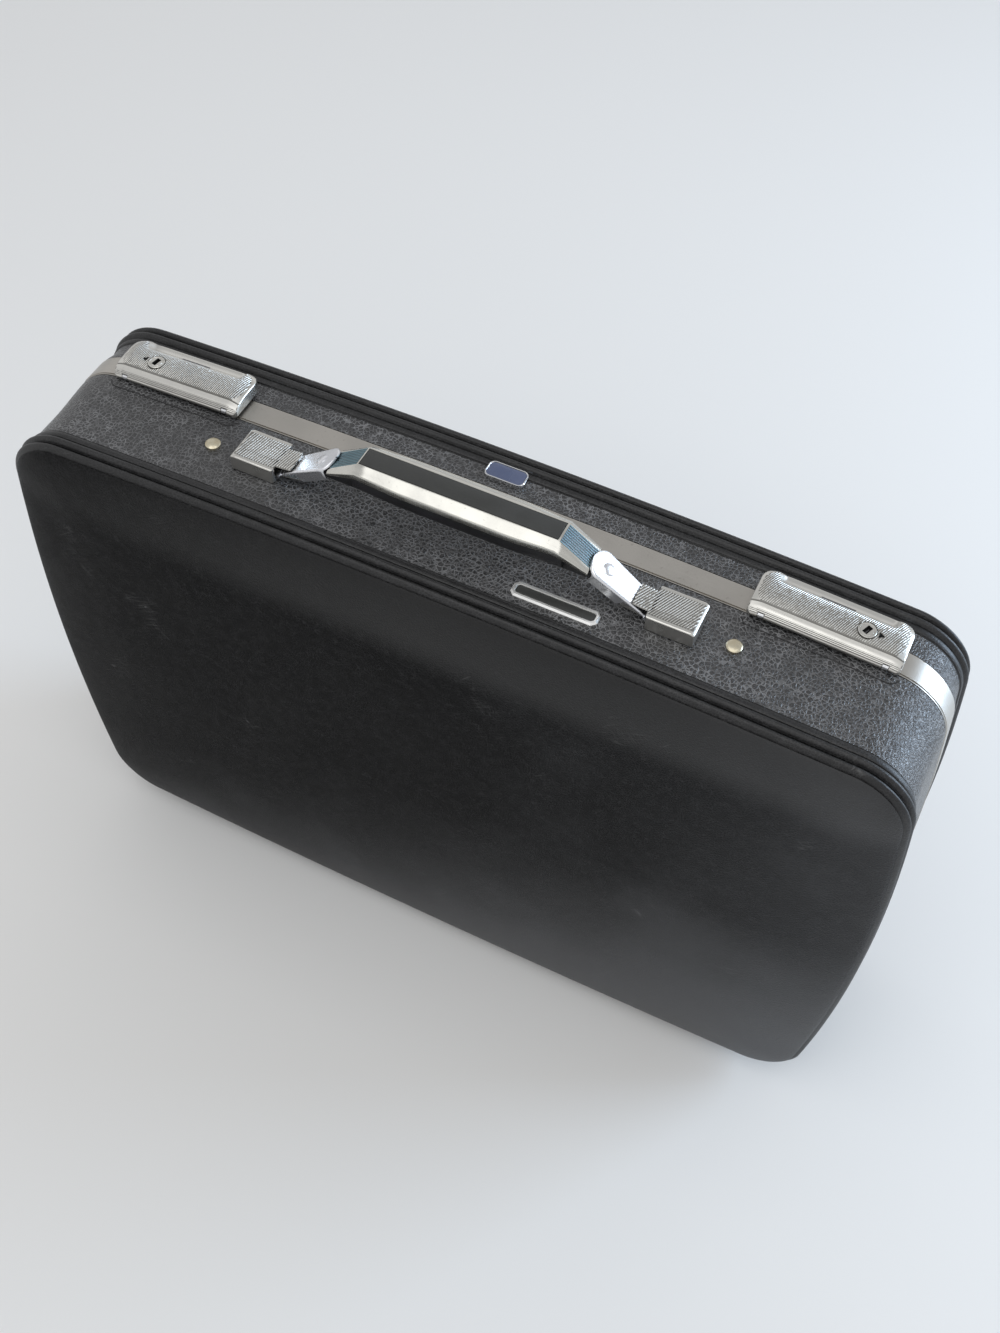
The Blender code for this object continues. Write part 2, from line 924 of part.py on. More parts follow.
def core_outline(half_width, flat, top, middle, bottom):
    knee = bottom + (middle - bottom) * core_knee_share
    return (
        (-half_width, top),
        (-half_width, middle),
        (-(half_width + flat) / 2, knee),
        (-flat, bottom),
        (flat, bottom),
        ((half_width + flat) / 2, knee),
        (half_width, middle),
        (half_width, top),
    )


slope_drop = slope_reach * math.tan(slope_angle)
cap_end_top = grip_top - slope_drop
cap_stations = (
    (
        grip_half_length + slope_reach,
        cap_outline(
            slope_half_width,
            grip_flat_half_width,
            cap_end_top,
            cap_end_top - cap_end_thickness / 2,
            cap_end_top - cap_end_thickness,
        ),
    ),
    (
        grip_half_length,
        cap_outline(grip_half_width, grip_flat_half_width, grip_top, grip_shoulder, grip_split),
    ),
    (
        grip_half_length / 2,
        cap_outline(grip_half_width + grip_swell, grip_flat_half_width, grip_top, grip_shoulder, grip_split),
    ),
)


def both_ways(stations):
    """The stations from the left end to the right end of the bar."""
    return [(-x, outline) for x, outline in stations] + [(x, outline) for x, outline in reversed(stations)]


handle_cap = loft("handle_cap", [bar_ring(x, outline) for x, outline in both_ways(cap_stations)], chrome)
inlay_recess = make_box(
    "inlay_recess",
    (
        -inlay_half_length - inlay_gap,
        y_at(handle_depth) - inlay_half_width - inlay_gap,
        top_of_bead + grip_top + inlay_proud - inlay_thickness - inlay_gap,
    ),
    (
        inlay_half_length + inlay_gap,
        y_at(handle_depth) + inlay_half_width + inlay_gap,
        top_of_bead + grip_top + cut_overrun,
    ),
    None,
)
cut(handle_cap, inlay_recess)
make_box(
    "handle_inlay",
    (
        -inlay_half_length,
        y_at(handle_depth) - inlay_half_width,
        top_of_bead + grip_top + inlay_proud - inlay_thickness,
    ),
    (inlay_half_length, y_at(handle_depth) + inlay_half_width, top_of_bead + grip_top + inlay_proud),
    black_inlay,
)

core_top = grip_split - core_gap
core_stations = (
    (
        grip_half_length + core_end_reach,
        core_outline(
            core_end_half_width,
            core_flat_half_width,
            core_end_top - core_gap,
            core_mid_height,
            core_end_bottom,
        ),
    ),
    (
        grip_half_length,
        core_outline(core_half_width, core_flat_half_width, core_top, core_mid_height, grip_bottom),
    ),
    (
        grip_half_length / 2,
        core_outline(
            core_half_width + grip_swell, core_flat_half_width, core_top, core_mid_height, grip_bottom
        ),
    ),
)
handle_core = loft(
    "handle_core", [bar_ring(x, outline) for x, outline in both_ways(core_stations)], black_core
)
pivot_z = top_of_bead + pivot_above_bead
for side, name in ((-1, "left"), (1, "right")):
    lug_y_low = y_at(handle_depth) - lug_half_width
    lug_y_high = y_at(handle_depth) + lug_half_width
    lug_outline = turned_points(pivot_x, pivot_z, lug_radius, -math.pi / 2, math.pi / 2, corner_steps)
    lug_root_x = grip_half_length - lug_tuck
    lug_outline += [(lug_root_x, pivot_z + lug_radius), (lug_root_x, pivot_z - lug_radius)]
    lug_outline = [(side * x, z) for x, z in lug_outline]
    join(handle_core, prism(name + "_core_lug", lug_outline, lug_y_low, lug_y_high, "Y"))
    cut(
        handle_core,
        make_cylinder(
            name + "_core_bore",
            link_pin_radius + link_pin_clearance,
            (side * pivot_x, lug_y_low - cut_overrun, pivot_z),
            (side * pivot_x, lug_y_high + cut_overrun, pivot_z),
            None,
        ),
    )
    make_cylinder(
        "handle_pin_" + name,
        link_pin_radius,
        (side * pivot_x, y_at(handle_depth) - link_pin_half_length, pivot_z),
        (side * pivot_x, y_at(handle_depth) + link_pin_half_length, pivot_z),
        dark_steel,
    )


# Links: sloping plates with side flanges and a cross bar at the mount's end
def make_link(side, name):
    pivot = bpy.data.objects.new("link_" + name + "_pivot", None)
    case_parts.objects.link(pivot)
    pivot.location = (side * pivot_x, y_at(handle_depth), pivot_z)
    pivot.rotation_euler = (0, slope_angle, 0 if side > 0 else math.pi)
    pivot.rotation_mode = "XYZ"
    plan = []
    for step in range(link_end_segments + 1):
        angle = math.pi / 2 + math.pi * step / link_end_segments
        plan.append(
            (
                link_upper_end * -math.cos(angle),
                link_upper_half_width * math.sin(angle),
            )
        )
    plan.append((link_lower_end, -link_lower_half_width))
    plan.append((link_lower_end, link_lower_half_width))
    link = prism("handle_link_" + name, plan, link_top - link_thickness, link_top, "Z", chrome, pivot)
    flange_half_width = (link_upper_half_width + link_lower_half_width) / 2
    for edge in (-1, 1):
        flange_plan = [
            (link_flange_start, edge * link_upper_half_width),
            (link_flange_end, edge * flange_half_width),
            (link_flange_end, edge * (flange_half_width - link_flange_thickness)),
            (link_flange_start, edge * (link_upper_half_width - link_flange_thickness)),
        ]
        if edge > 0:
            flange_plan.reverse()
        flange = prism(
            name + "_flange_" + str(edge),
            flange_plan,
            link_top - link_flange_drop,
            link_top - link_thickness / 2,
            "Z",
            None,
            pivot,
        )
        join(link, flange)
    bar = make_cylinder(
        name + "_bar",
        link_bar_radius,
        (link_lower_end, -link_bar_half_length, link_top - link_thickness / 2),
        (link_lower_end, link_bar_half_length, link_top - link_thickness / 2),
        None,
        pivot,
        roll_segments,
    )
    join(link, bar)
    dimple = make_cylinder(
        name + "_dimple",
        link_dimple_radius,
        (link_dimple_along, 0, link_top - link_thickness / 2),
        (link_dimple_along, 0, link_top + link_dimple_height),
        None,
        pivot,
        end_radius=link_dimple_radius / 2,
    )
    join(link, dimple)
    cut(
        link,
        make_cylinder(
            name + "_link_bore",
            link_pin_radius + link_pin_clearance,
            (0, -link_upper_half_width - cut_overrun, 0),
            (0, link_upper_half_width + cut_overrun, 0),
            None,
            pivot,
        ),
    )
    return link


for side, name in ((-1, "left"), (1, "right")):
    make_link(side, name)


# Mounts: a floor plate with a rising lip, and a ribbed cover with a tongue over the link
mount_floor = top_of_bead - bow_drop((mount_inner + mount_outer) / 2) - wall_waist_inset
for side, name in ((-1, "left"), (1, "right")):
    mount_y = y_at(handle_depth)
    seat_z = mount_floor + mount_seat_gap
    plate_margin = mount_wall + mount_plate_gap
    span = sorted((side * (mount_inner + plate_margin), side * (mount_outer - plate_margin)))
    floor_half = mount_half_width - plate_margin
    mount_base = make_box(
        "handle_mount_" + name + "_base",
        (span[0], mount_y - floor_half, seat_z),
        (span[1], mount_y + floor_half, seat_z + mount_plate_thickness),
        dark_steel,
    )
    lip_length = mount_lip_reach + mount_lip_tuck
    lip = place(
        box_mesh((0, -mount_lip_half_width, 0), (lip_length, mount_lip_half_width, mount_lip_thickness)),
        name + "_lip",
        None,
    )
    lip.location = (side * (mount_inner + mount_lip_tuck), mount_y, seat_z)
    lip.rotation_euler = (0, -mount_lip_rise, math.pi if side > 0 else 0)
    join(mount_base, lip)

    body_span = sorted((side * mount_inner, side * mount_outer))
    cover = make_box(
        "handle_mount_" + name + "_cover",
        (body_span[0], mount_y - mount_half_width, seat_z),
        (body_span[1], mount_y + mount_half_width, top_of_bead + mount_top),
        brushed,
    )
    cut(
        base_shell,
        make_box(
            name + "_mount_seat",
            (body_span[0] - mount_seat_gap, mount_y - mount_half_width - mount_seat_gap, mount_floor),
            (
                body_span[1] + mount_seat_gap,
                mount_y + mount_half_width + mount_seat_gap,
                top_of_bead + cut_overrun,
            ),
            None,
        ),
    )
    hollow_span = sorted((side * (mount_inner + mount_wall), side * (mount_outer - mount_wall)))
    cut(
        cover,
        make_box(
            name + "_mount_hollow",
            (hollow_span[0], mount_y - mount_half_width + mount_wall, seat_z - cut_overrun),
            (hollow_span[1], mount_y + mount_half_width - mount_wall, top_of_bead + mount_top - mount_wall),
            None,
        ),
    )
    mouth_span = sorted((side * (mount_inner - cut_overrun), side * (mount_inner + mount_wall + cut_overrun)))
    cut(
        cover,
        make_box(
            name + "_mount_mouth",
            (mouth_span[0], mount_y - mount_mouth_half_width, seat_z - cut_overrun),
            (mouth_span[1], mount_y + mount_mouth_half_width, top_of_bead + mount_mouth_height),
            None,
        ),
    )
    tongue_run = mount_tongue_reach + mount_wall
    tongue = place(
        box_mesh((0, -mount_tongue_half_width, -mount_wall), (tongue_run, mount_tongue_half_width, 0)),
        name + "_tongue",
        None,
    )
    tongue.location = (side * (mount_inner + mount_wall), mount_y, top_of_bead + mount_top)
    tongue.rotation_euler = (0, -mount_tongue_rise, math.pi if side > 0 else 0)
    join(cover, tongue)


# Hinges: two leaves and a pin on each side of the bottom
hinge_y = y_at(band_rear + seam_gap / 2)
for side, name in ((-1, "left"), (1, "right")):
    low_x = side * hinge_x - hinge_half_length
    high_x = side * hinge_x + hinge_half_length
    centre_low = low_x + (high_x - low_x) * hinge_knuckle_share
    centre_high = high_x - (high_x - low_x) * hinge_knuckle_share
    leaf_gap = hinge_knuckle_gap
    leaf_bottom = hinge_leaf_top - hinge_leaf_thickness
    base_leaf = make_box(
        "hinge_" + name + "_base_leaf",
        (low_x, hinge_y - hinge_leaf_reach, leaf_bottom),
        (high_x, hinge_y - leaf_gap, hinge_leaf_top),
        dark_steel,
    )
    lid_leaf = make_box(
        "hinge_" + name + "_lid_leaf",
        (low_x, hinge_y + leaf_gap, leaf_bottom),
        (high_x, hinge_y + hinge_leaf_reach, hinge_leaf_top),
        dark_steel,
    )
    relief_low = hinge_y - hinge_knuckle_radius - hinge_knuckle_gap
    relief_high = hinge_y + hinge_knuckle_radius + hinge_knuckle_gap
    middle_relief = make_box(
        name + "_middle_relief",
        (centre_low, relief_low, leaf_bottom - cut_overrun),
        (centre_high, hinge_y, hinge_leaf_top + cut_overrun),
        None,
    )
    cut(base_leaf, middle_relief)
    for number, (start, end) in enumerate(((low_x, centre_low), (centre_high, high_x))):
        outward = hinge_knuckle_gap if number == 0 else 0
        inward = 0 if number == 0 else hinge_knuckle_gap
        end_relief = make_box(
            name + "_end_relief_" + str(number),
            (start - cut_overrun * (1 - number), hinge_y, leaf_bottom - cut_overrun),
            (end + cut_overrun * number, relief_high, hinge_leaf_top + cut_overrun),
            None,
        )
        cut(lid_leaf, end_relief)
        knuckle = make_cylinder(
            name + "_base_knuckle_" + str(number),
            hinge_knuckle_radius,
            (start + inward, hinge_y, hinge_axis_height),
            (end - outward, hinge_y, hinge_axis_height),
            None,
            segments=hinge_segments,
        )
        join(base_leaf, knuckle)
    lid_knuckle = make_cylinder(
        name + "_lid_knuckle",
        hinge_knuckle_radius,
        (centre_low + hinge_knuckle_gap, hinge_y, hinge_axis_height),
        (centre_high - hinge_knuckle_gap, hinge_y, hinge_axis_height),
        None,
        segments=hinge_segments,
    )
    join(lid_leaf, lid_knuckle)
    for leaf in (base_leaf, lid_leaf):
        cut(
            leaf,
            make_cylinder(
                leaf.name + "_bore",
                hinge_pin_radius + hinge_pin_clearance,
                (low_x - cut_overrun, hinge_y, hinge_axis_height),
                (high_x + cut_overrun, hinge_y, hinge_axis_height),
                None,
                segments=hinge_segments,
            ),
        )
    make_cylinder(
        "hinge_" + name + "_pin",
        hinge_pin_radius,
        (low_x, hinge_y, hinge_axis_height),
        (high_x, hinge_y, hinge_axis_height),
        chrome,
        segments=hinge_segments,
    )


# Feet, each let into a flat seat in its shell
def make_foot(name, x, depth, radius, shell):
    foot_top = ground_clearance + bow_drop(x) + wall_waist_inset - foot_seat_depth
    foot = make_cylinder(
        name,
        radius,
        (x, y_at(depth), 0),
        (x, y_at(depth), foot_top),
        foot_rubber,
    )
    bevel = foot.modifiers.new("edge", "BEVEL")
    bevel.width = foot_edge
    bevel.segments = 2
    bevel.limit_method = "ANGLE"
    seat = make_cylinder(
        name + "_seat",
        radius + foot_seat_clearance,
        (x, y_at(depth), 0),
        (x, y_at(depth), foot_top + foot_seat_clearance),
        None,
    )
    cut(shell, seat)


for side, name in ((-1, "left"), (1, "right")):
    make_foot("base_foot_" + name, side * foot_x, foot_base_depth, foot_radius, base_shell)
    make_foot("lid_foot_" + name, side * foot_x, foot_lid_depth, foot_lid_radius, lid_shell)

# Rivets and the two bare plates
for side, name in ((-1, "left"), (1, "right")):
    rivet_z = top_of_bead - bow_drop(rivet_x) - rivet_sink
    make_cylinder(
        "rivet_" + name,
        rivet_radius,
        (side * rivet_x, y_at(rivet_depth), rivet_z),
        (side * rivet_x, y_at(rivet_depth), rivet_z + rivet_height),
        cream_rivet,
        end_radius=rivet_top_radius,
    )

plate_z = top_of_bead - bow_drop(plate_x) - plate_sink
plate_frame = make_box(
    "name_plate_frame",
    (plate_x - plate_length / 2, y_at(plate_depth) - plate_width / 2, plate_z),
    (plate_x + plate_length / 2, y_at(plate_depth) + plate_width / 2, plate_z + plate_thickness),
    chrome,
)
plate_recess = make_box(
    "plate_recess",
    (
        plate_x - plate_length / 2 + plate_frame_width,
        y_at(plate_depth) - plate_width / 2 + plate_frame_width,
        plate_z + plate_floor,
    ),
    (
        plate_x + plate_length / 2 - plate_frame_width,
        y_at(plate_depth) + plate_width / 2 - plate_frame_width,
        plate_z + plate_thickness + cut_overrun,
    ),
    None,
)
edge = plate_frame.modifiers.new("edge", "BEVEL")
edge.width = plate_edge
edge.segments = 1
edge.limit_method = "ANGLE"
cut(plate_frame, plate_recess)
field_inset = plate_frame_width + plate_field_gap
make_box(
    "name_plate_field",
    (
        plate_x - plate_length / 2 + field_inset,
        y_at(plate_depth) - plate_width / 2 + field_inset,
        plate_z + plate_floor + plate_field_gap,
    ),
    (
        plate_x + plate_length / 2 - field_inset,
        y_at(plate_depth) + plate_width / 2 - field_inset,
        plate_z + plate_thickness - plate_field_sink,
    ),
    black_inlay,
)
badge_plan = rounded_plan(
    badge_x - badge_length / 2,
    badge_x + badge_length / 2,
    y_at(badge_depth) - badge_width / 2,
    y_at(badge_depth) + badge_width / 2,
    badge_corner,
    badge_corner,
)
badge_z = top_of_bead - bow_drop(badge_x) - badge_sink
prism("badge_plate", badge_plan, badge_z, badge_z + badge_thickness, "Z", brushed)


# Joint axes: each moving piece hangs on an empty that stands on its axis
def make_pivot(name, location, pieces, carried_by=None):
    """An empty at a world place, carrying its pieces, which stay where they are."""
    pivot = bpy.data.objects.new(name, None)
    case_parts.objects.link(pivot)
    pivot.location = location
    bpy.context.view_layer.update()
    if carried_by:
        pieces = pieces + [pivot]
    for piece in pieces:
        carrier = carried_by if piece is pivot else pivot
        stays = piece.matrix_world.copy()
        piece.parent = carrier
        piece.matrix_parent_inverse = carrier.matrix_world.inverted()
        piece.matrix_world = stays
    return pivot


def named(names):
    return [case_parts.objects[name] for name in names]


bpy.context.view_layer.update()
lid_pieces = ["lid_shell", "lid_rim", "lid_lining", "badge_plate"]
for name in ("left", "right"):
    lid_pieces += ["latch_" + name + "_keeper", "hinge_" + name + "_lid_leaf", "lid_foot_" + name]
make_pivot("lid_pivot", (0, hinge_y, hinge_axis_height), named(lid_pieces))

handle_pieces = ["handle_core", "handle_cap", "handle_inlay", "handle_pin_left", "handle_pin_right"]
handle_pieces += ["link_left_pivot", "link_right_pivot"]
make_pivot("handle_slide", (0, y_at(handle_depth), pivot_z), named(handle_pieces))

for side, name in ((-1, "left"), (1, "right")):
    seat_place = case_parts.objects["latch_" + name + "_seat"].matrix_world.copy()
    latch_axis = seat_place @ Vector((0, y_at(pivot_depth), pivot_height))
    lock_axis = seat_place @ Vector((side * lock_offset_x, y_at(lock_depth), latch_height))
    latch_pieces = named(["latch_" + name + "_cover", "latch_" + name + "_hook"])
    latch_pivot = make_pivot("latch_" + name + "_pivot", latch_axis, latch_pieces)
    make_pivot("lock_" + name + "_pivot", lock_axis, named(["latch_" + name + "_lock"]), latch_pivot)
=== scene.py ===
# Hard-shell travel case: its looks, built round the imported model
import math

import bmesh
import bpy
from mathutils import Matrix, Vector


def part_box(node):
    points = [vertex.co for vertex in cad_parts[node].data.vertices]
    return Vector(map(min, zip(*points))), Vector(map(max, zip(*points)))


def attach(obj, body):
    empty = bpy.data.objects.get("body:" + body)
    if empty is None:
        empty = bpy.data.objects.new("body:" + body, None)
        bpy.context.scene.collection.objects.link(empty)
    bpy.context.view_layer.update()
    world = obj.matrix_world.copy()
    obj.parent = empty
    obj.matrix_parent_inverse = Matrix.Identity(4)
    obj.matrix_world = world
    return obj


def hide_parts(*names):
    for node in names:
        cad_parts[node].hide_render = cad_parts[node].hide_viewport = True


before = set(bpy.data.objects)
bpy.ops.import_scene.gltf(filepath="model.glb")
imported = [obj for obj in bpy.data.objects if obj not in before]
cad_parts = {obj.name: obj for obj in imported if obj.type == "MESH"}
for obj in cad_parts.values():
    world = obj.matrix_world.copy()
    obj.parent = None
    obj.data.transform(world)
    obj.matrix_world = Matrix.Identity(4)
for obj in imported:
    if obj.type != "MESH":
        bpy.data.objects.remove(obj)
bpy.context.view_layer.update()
baseLow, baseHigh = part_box("base_shell")
print("frame loaded:", len(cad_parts), "nodes")

# The case in metres. Depths run back from the front bead's groove, insets run in from the outline.
case = {
    "width": baseHigh.x - baseLow.x,
    "foot": baseLow.z,
    "top": baseHigh.z,
    "faceRise": 0.0144,
    "beadSpacing": 0.0974,
    "cornerRadius": 0.0328,
    "leastRadius": 0.006,
    "sideBow": 0.0114,
    "topBow": 0.0067,
    "cornerPoints": 16,
    "longPoints": 44,
    "shortPoints": 28,
}
grooveY = baseLow.y + case["faceRise"]
middleZ = (case["foot"] + case["top"]) / 2

camera = {
    "place": (0.22253, -0.45057, 0.93660),
    "turn": (35.6416, -1.1752, 26.0049),  # degrees
    "lens": 39.884,
    "sensor": 36.0,
}

light = {
    "overheadPlace": (0.0, -0.55, 2.1),
    "overheadSize": 2.2,
    "overheadPower": 17.0,
    "windowPlace": (1.54, 1.02, 0.72),
    "windowSize": 0.9,
    "windowPower": 24.0,
    "windowColour": (0.62, 0.79, 1.0),
    "aim": (0.0, 0.0, 0.22),
    "skyLow": (0.82, 0.82, 0.83),
    "skyHigh": (0.46, 0.465, 0.475),
    "floorColour": (0.80, 0.80, 0.79),
    "floorSize": 14.0,
}


def yAt(depth):
    return grooveY + depth


def bowDrop(x):
    return case["topBow"] * (x / (case["width"] / 2)) ** 2


def lerp(low, high, share):
    return low + (high - low) * share


def smoothStep(low, high, value):
    share = min(max((value - low) / (high - low), 0), 1)
    return share * share * (3 - 2 * share)


def spread(low, high, count):
    return [lerp(low, high, step / count) for step in range(count + 1)]


def roundDrop(distance, radius):  # how far a rounded edge has fallen at this distance from it
    return radius - math.sqrt(radius**2 - (radius - distance) ** 2) if distance < radius else 0


def curveThrough(points, place):
    if place <= points[0][0]:
        return points[0][1]
    for number in range(len(points) - 1):
        (startX, startY), (endX, endY) = points[number], points[number + 1]
        if place > endX:
            continue
        before, after = points[max(number - 1, 0)], points[min(number + 2, len(points) - 1)]
        run = endX - startX
        slopeIn = run * (endY - before[1]) / (endX - before[0])
        slopeOut = run * (after[1] - startY) / (after[0] - startX)
        t = (place - startX) / run
        held = (2 * t**3 - 3 * t**2 + 1) * startY + (3 * t**2 - 2 * t**3) * endY
        return held + (t**3 - 2 * t**2 + t) * slopeIn + (t**3 - t**2) * slopeOut
    return points[-1][1]


# Node helpers: an input is a plain value, or a (node, output) pair that gets linked
def isLink(value):
    return isinstance(value, tuple) and len(value) == 2 and isinstance(value[0], bpy.types.Node)


def addNode(tree, kind, inputs=None, **settings):
    node = tree.nodes.new(kind)
    for key, value in settings.items():
        setattr(node, key, value)
    for key, value in (inputs or {}).items():
        if isLink(value):
            tree.links.new(value[0].outputs[value[1]], node.inputs[key])
        else:
            node.inputs[key].default_value = value
    return node


def startGroup(name, inputs, outputs, kind="ShaderNodeTree"):
    group = bpy.data.node_groups.new(name, kind)
    for label, socketKind, value in inputs:
        socket = group.interface.new_socket(label, in_out="INPUT", socket_type=socketKind)
        if value is not None:
            socket.default_value = value
    for label, socketKind in outputs:
        group.interface.new_socket(label, in_out="OUTPUT", socket_type=socketKind)
    return group, group.nodes.new("NodeGroupInput"), group.nodes.new("NodeGroupOutput")


def maths(tree, operation, first, second=0.0, clamp=False):
    node = addNode(tree, "ShaderNodeMath", {0: first, 1: second}, operation=operation, use_clamp=clamp)
    return (node, "Value")


def vectorMaths(tree, operation, first, second):
    key = "Scale" if operation == "SCALE" else 1
    node = addNode(tree, "ShaderNodeVectorMath", {0: first, key: second}, operation=operation)
    return (node, "Vector")


def ranged(tree, value, fromLow, fromHigh, toLow, toHigh, smooth=False):
    node = addNode(
        tree,
        "ShaderNodeMapRange",
        {"Value": value, "From Min": fromLow, "From Max": fromHigh, "To Min": toLow, "To Max": toHigh},
        interpolation_type="SMOOTHSTEP" if smooth else "LINEAR",
    )
    return (node, "Result")


def mixColour(tree, share, first, second, blend="MIX"):
    node = addNode(
        tree,
        "ShaderNodeMix",
        {"Factor": share, 6: first, 7: second},
        data_type="RGBA",
        blend_type=blend,
    )
    return (node, 2)


def noiseAt(tree, vector, scale, detail=2.0):
    return (addNode(tree, "ShaderNodeTexNoise", {"Vector": vector, "Scale": scale, "Detail": detail}), "Fac")


def edgeCells(tree, vector, scale):
    settings = {"feature": "DISTANCE_TO_EDGE"}
    return (addNode(tree, "ShaderNodeTexVoronoi", {"Vector": vector, "Scale": scale}, **settings), "Distance")


def useGroup(tree, group, inputs):
    node = addNode(tree, "ShaderNodeGroup", node_tree=group)
    for key, value in inputs.items():
        if isLink(value):
            tree.links.new(value[0].outputs[value[1]], node.inputs[key])
        else:
            node.inputs[key].default_value = value
    return node


def join(tree, source, node, key):
    tree.links.new(source[0].outputs[source[1]], node.inputs[key])


# Moulded leather grain: pebbles of two sizes parted by creases, with fine pores
def makeGrainGroup():
    group, given, result = startGroup(
        "mouldedGrain",
        [
            ("Vector", "NodeSocketVector", None),
            ("Cells", "NodeSocketFloat", 480.0),
            ("Pores", "NodeSocketFloat", 2600.0),
            ("Wander", "NodeSocketFloat", 0.0011),
        ],
        [("Height", "NodeSocketFloat"), ("Crease", "NodeSocketFloat")],
    )
    drift = addNode(group, "ShaderNodeTexNoise", {"Vector": (given, "Vector"), "Scale": 330.0, "Detail": 2.0})
    centred = vectorMaths(group, "SUBTRACT", (drift, "Color"), (0.5, 0.5, 0.5))
    wandering = vectorMaths(group, "SCALE", centred, (given, "Wander"))
    bent = vectorMaths(group, "ADD", (given, "Vector"), wandering)
    fromCrease = edgeCells(group, bent, (given, "Cells"))
    pebble = ranged(group, fromCrease, 0.0, 0.26, 0.0, 1.0, smooth=True)
    line = ranged(group, fromCrease, 0.02, 0.13, 1.0, 0.0, smooth=True)
    smaller = maths(group, "MULTIPLY", (given, "Cells"), 2.1)
    grit = ranged(group, edgeCells(group, bent, smaller), 0.0, 0.2, 0.0, 1.0, smooth=True)
    pores = noiseAt(group, (given, "Vector"), (given, "Pores"))
    height = maths(group, "ADD", maths(group, "MULTIPLY", pebble, 0.6), maths(group, "MULTIPLY", grit, 0.25))
    height = maths(group, "ADD", height, maths(group, "MULTIPLY", pores, 0.15))
    join(group, height, result, "Height")
    broken = ranged(group, noiseAt(group, (given, "Vector"), 160.0, 3.0), 0.38, 0.6, 0.35, 1.0)
    join(group, maths(group, "MULTIPLY", line, broken), result, "Crease")
    return group


# Scuffs: short thin scratches that keep to a few places
def makeScuffGroup():
    group, given, result = startGroup(
        "scuffs",
        [
            ("Vector", "NodeSocketVector", None),
            ("Stretch", "NodeSocketVector", (10.0, 10.0, 190.0)),
            ("Turn", "NodeSocketFloat", 0.5),
            ("Rarity", "NodeSocketFloat", 0.60),
        ],
        [("Mask", "NodeSocketFloat")],
    )
    turned = addNode(
        group,
        "ShaderNodeVectorRotate",
        {"Vector": (given, "Vector"), "Angle": (given, "Turn")},
        rotation_type="Y_AXIS",
    )
    long = vectorMaths(group, "MULTIPLY", (turned, "Vector"), (given, "Stretch"))
    line = ranged(group, edgeCells(group, long, 2.0), 0.0, 0.03, 1.0, 0.0)
    places = noiseAt(group, (given, "Vector"), 24.0, 3.0)
    kept = addNode(
        group,
        "ShaderNodeMapRange",
        {"Value": places, "From Min": (given, "Rarity"), "From Max": 0.75, "To Min": 0.0, "To Max": 1.0},
    )
    join(group, maths(group, "MULTIPLY", line, (kept, "Result"), clamp=True), result, "Mask")
    return group


# Handling marks: cloudy patches and fine specks for metals
def makeHandlingGroup():
    group, given, result = startGroup(
        "handling",
        [
            ("Vector", "NodeSocketVector", None),
            ("Patches", "NodeSocketFloat", 45.0),
            ("Specks", "NodeSocketFloat", 900.0),
        ],
        [("Cloud", "NodeSocketFloat"), ("Speck", "NodeSocketFloat")],
    )
    cloud = noiseAt(group, (given, "Vector"), (given, "Patches"), 5.0)
    speck = noiseAt(group, (given, "Vector"), (given, "Specks"))
    join(group, ranged(group, cloud, 0.35, 0.68, 0.0, 1.0, smooth=True), result, "Cloud")
    join(group, ranged(group, speck, 0.66, 0.74, 0.0, 1.0), result, "Speck")
    return group


# Brushing: long fine lines along one axis of the vector given
def makeBrushGroup():
    group, given, result = startGroup(
        "brushing",
        [
            ("Vector", "NodeSocketVector", None),
            ("Along", "NodeSocketFloat", 14.0),
            ("Across", "NodeSocketFloat", 4200.0),
        ],
        [("Lines", "NodeSocketFloat")],
    )
    stretch = addNode(
        group, "ShaderNodeCombineXYZ", {"X": (given, "Along"), "Y": (given, "Across"), "Z": (given, "Across")}
    )
    long = vectorMaths(group, "MULTIPLY", (given, "Vector"), (stretch, "Vector"))
    join(group, noiseAt(group, long, 1.0, 3.0), result, "Lines")
    return group


# Plain weave: crossing threads with uneven slubs
def makeWeaveGroup():
    group, given, result = startGroup(
        "weave",
        [("Vector", "NodeSocketVector", None), ("Threads", "NodeSocketFloat", 900.0)],
        [("Height", "NodeSocketFloat"), ("Tone", "NodeSocketFloat")],
    )
    scaled = vectorMaths(group, "SCALE", (given, "Vector"), (given, "Threads"))
    parts = addNode(group, "ShaderNodeSeparateXYZ", {"Vector": scaled})
    acrossSum = maths(group, "ADD", (parts, "X"), (parts, "Y"))
    across = maths(group, "SINE", maths(group, "MULTIPLY", acrossSum, math.pi))
    alongSum = maths(group, "ADD", (parts, "Z"), (parts, "Y"))
    along = maths(group, "SINE", maths(group, "MULTIPLY", alongSum, math.pi))
    crossed = maths(group, "MULTIPLY", across, along)
    join(group, ranged(group, crossed, -1.0, 1.0, 0.0, 1.0), result, "Height")
    join(group, noiseAt(group, (given, "Vector"), 140.0, 4.0), result, "Tone")
    return group


mouldedGrain = makeGrainGroup()
scuffs = makeScuffGroup()
handling = makeHandlingGroup()
brushing = makeBrushGroup()
weave = makeWeaveGroup()
print("shader groups made")


# Materials
def startMaterial(name, metallic, specular=0.5):
    material = bpy.data.materials.new(name)
    material.use_nodes = True
    tree = material.node_tree
    shader = tree.nodes["Principled BSDF"]
    shader.inputs["Metallic"].default_value = metallic
    shader.inputs["Specular IOR Level"].default_value = specular
    coordinates = addNode(tree, "ShaderNodeTexCoord")
    return material, tree, shader, coordinates


def setBump(tree, shader, height, distance, strength=1.0):
    bump = addNode(tree, "ShaderNodeBump", {"Height": height, "Distance": distance, "Strength": strength})
    join(tree, (bump, "Normal"), shader, "Normal")


